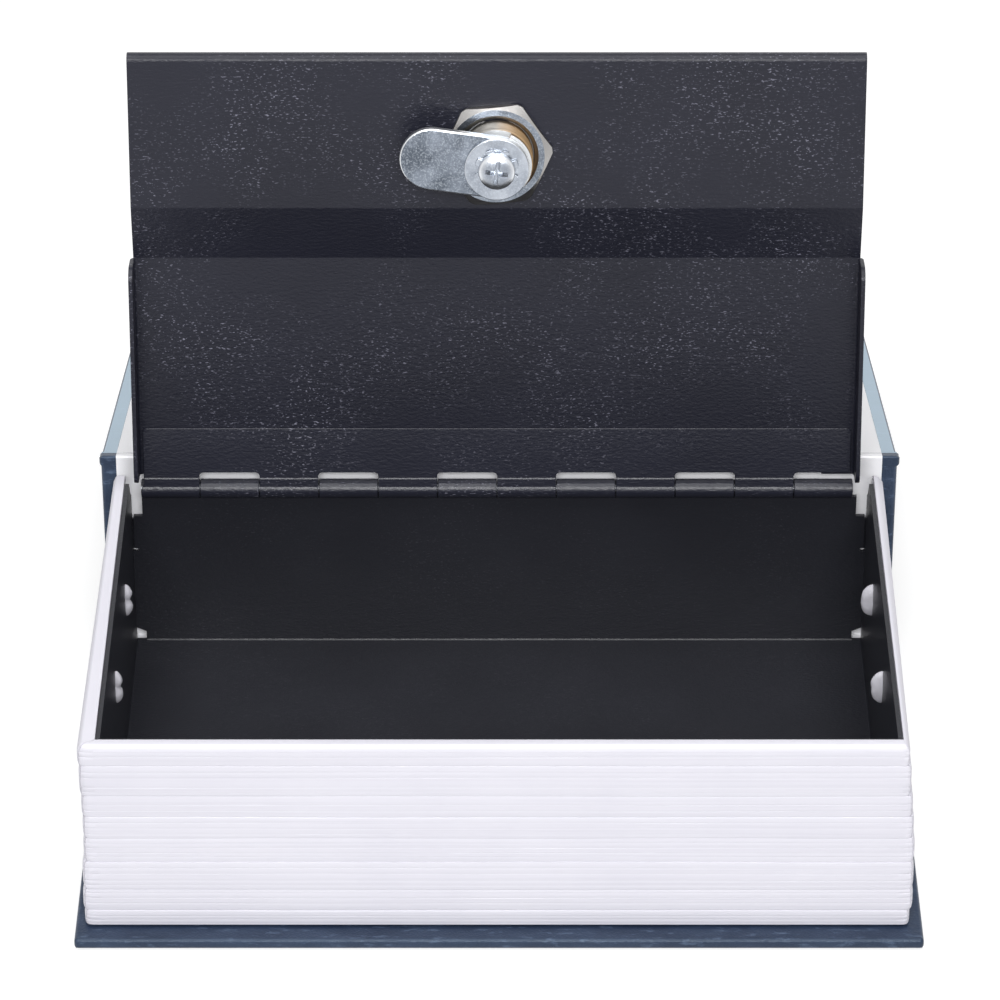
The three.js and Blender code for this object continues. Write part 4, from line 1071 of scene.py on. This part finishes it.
dress(nut, nut_zinc, "lid", "zinc_plate", "lock_nut")

low, high = local_box("cam", plug_frame)
cam_half = (high.y - low.y) / 2
cam_outline = arc(cam_half, -90, 90, 32) + [
    (x + low.x + cam_half, y) for x, y in arc(cam_half, 90, 270, 32)]
cam = plate("cam_stamped", cam_outline, low.z, high.z)
tail_radius, tail_flat = 4.2 * mm, 3.2 * mm
tail_hole = plate(
    "tail_hole", [(x, max(-tail_flat, min(tail_flat, y))) for x, y in arc(tail_radius, 0, 354, 59)],
    low.z - mm, high.z + mm)
cut(cam, tail_hole)
cam.data.transform(plug_frame)
round_edges(cam, 0.45 * mm, 4, 50)
smooth(cam, 40)
dress(cam, scuffed_zinc_painted_dark, "lock_plug", "zinc_plate", "cam")

low, high = local_box("cam_stop_washer", plug_frame)
ear_middle, ear_half, ear_share = 48, 6, 7.5 / 6.2
stop = plate("cam_stop_washer_stamped", [
    (x * share, y * share) for i, (x, y) in enumerate(arc(6.2 * mm, 0, 356.25, 95))
    for share in [ear_share if abs(i - ear_middle) < ear_half else 1]], low.z, high.z)
stop.data.transform(plug_frame)
round_edges(stop, 0.2 * mm, 3, 50)
smooth(stop, 40)
dress(stop, zinc, "lock_plug", "zinc_plate", "cam_stop_washer")

low, high = local_box("cam_washer", plug_frame)
washer = turned("cam_washer_stamped", [
    (2.3 * mm, low.z), (high.x, low.z), (high.x, high.z), (2.3 * mm, high.z)])
washer.data.transform(plug_frame)
round_edges(washer, 0.2 * mm, 3, 50)
smooth(washer, 40)
dress(washer, zinc, "lock_plug", "zinc_plate", "cam_washer")

low, high = local_box("cam_star_washer", plug_frame)
tooth_count, tooth_start = 8, 8
tooth_share, gap_share = 1.06, 0.84
tooth_twist = 0.2 * mm
star = plate("cam_star_washer_cut", [
    (x * share, y * share) for i, (x, y) in enumerate(arc(high.x, tooth_start, 363.5, 79))
    for share in [tooth_share if i % 10 < 5 else gap_share]], low.z, high.z)
for vertex in star.data.vertices:
    if vertex.co.xy.length > high.x * 0.95:
        angle = (math.atan2(vertex.co.y, vertex.co.x) - math.radians(tooth_start)) * tooth_count
        vertex.co.z -= tooth_twist * (1 + math.cos(angle))
star.data.transform(plug_frame)
round_edges(star, 0.1 * mm, 2, 50)
smooth(star, 30)
dress(star, zinc, "lock_plug", "zinc_plate", "cam_star_washer")

low, high = local_box("cam_screw", plug_frame)
head_radius = high.x
head_top = low.z
dome_height = 1.15 * mm
dome = [
    (head_radius * math.cos(math.radians(a)), head_top + dome_height * (1 - math.sin(math.radians(a))))
    for a in range(0, 91, 10)]
head_base = head_top + 2 * mm
screw = turned("cam_screw_headed", (
    [(head_radius, head_base)] + dome + [(0, high.z), (2 * mm, high.z), (2 * mm, head_base)]), 64)
cross_length, cross_width, cross_depth = 5.4 * mm, 1.0 * mm, 2.2 * mm
for wide, tall in ((cross_length, cross_width), (cross_width, cross_length)):
    bpy.ops.object.select_all(action="DESELECT")
    bpy.ops.mesh.primitive_cube_add(size=1, location=(0, 0, 0))
    bar = bpy.context.object
    for vertex in bar.data.vertices:
        near = vertex.co.z > 0
        vertex.co = Vector((
            vertex.co.x * wide * (0.45 if near else 1.1), vertex.co.y * tall * (0.7 if near else 1.1),
            head_top + (cross_depth if near else -0.5 * mm)))
    cut(screw, bar)
screw.data.transform(plug_frame)
smooth(screw, 35)
dress(screw, zinc, "lock_plug", "zinc_plate", "cam_screw")

plug = merged_copy("lock_plug", "lock_plug_finished")
round_edges(plug, 0.12 * mm, 2, 50)
smooth(plug, 40)
dress(plug, zinc, "lock_plug", "zinc_plate", "lock_plug")
for i in range(1, 5):
    nodes[f"plug_wafer_{i}"].material_slots[0].material = brass
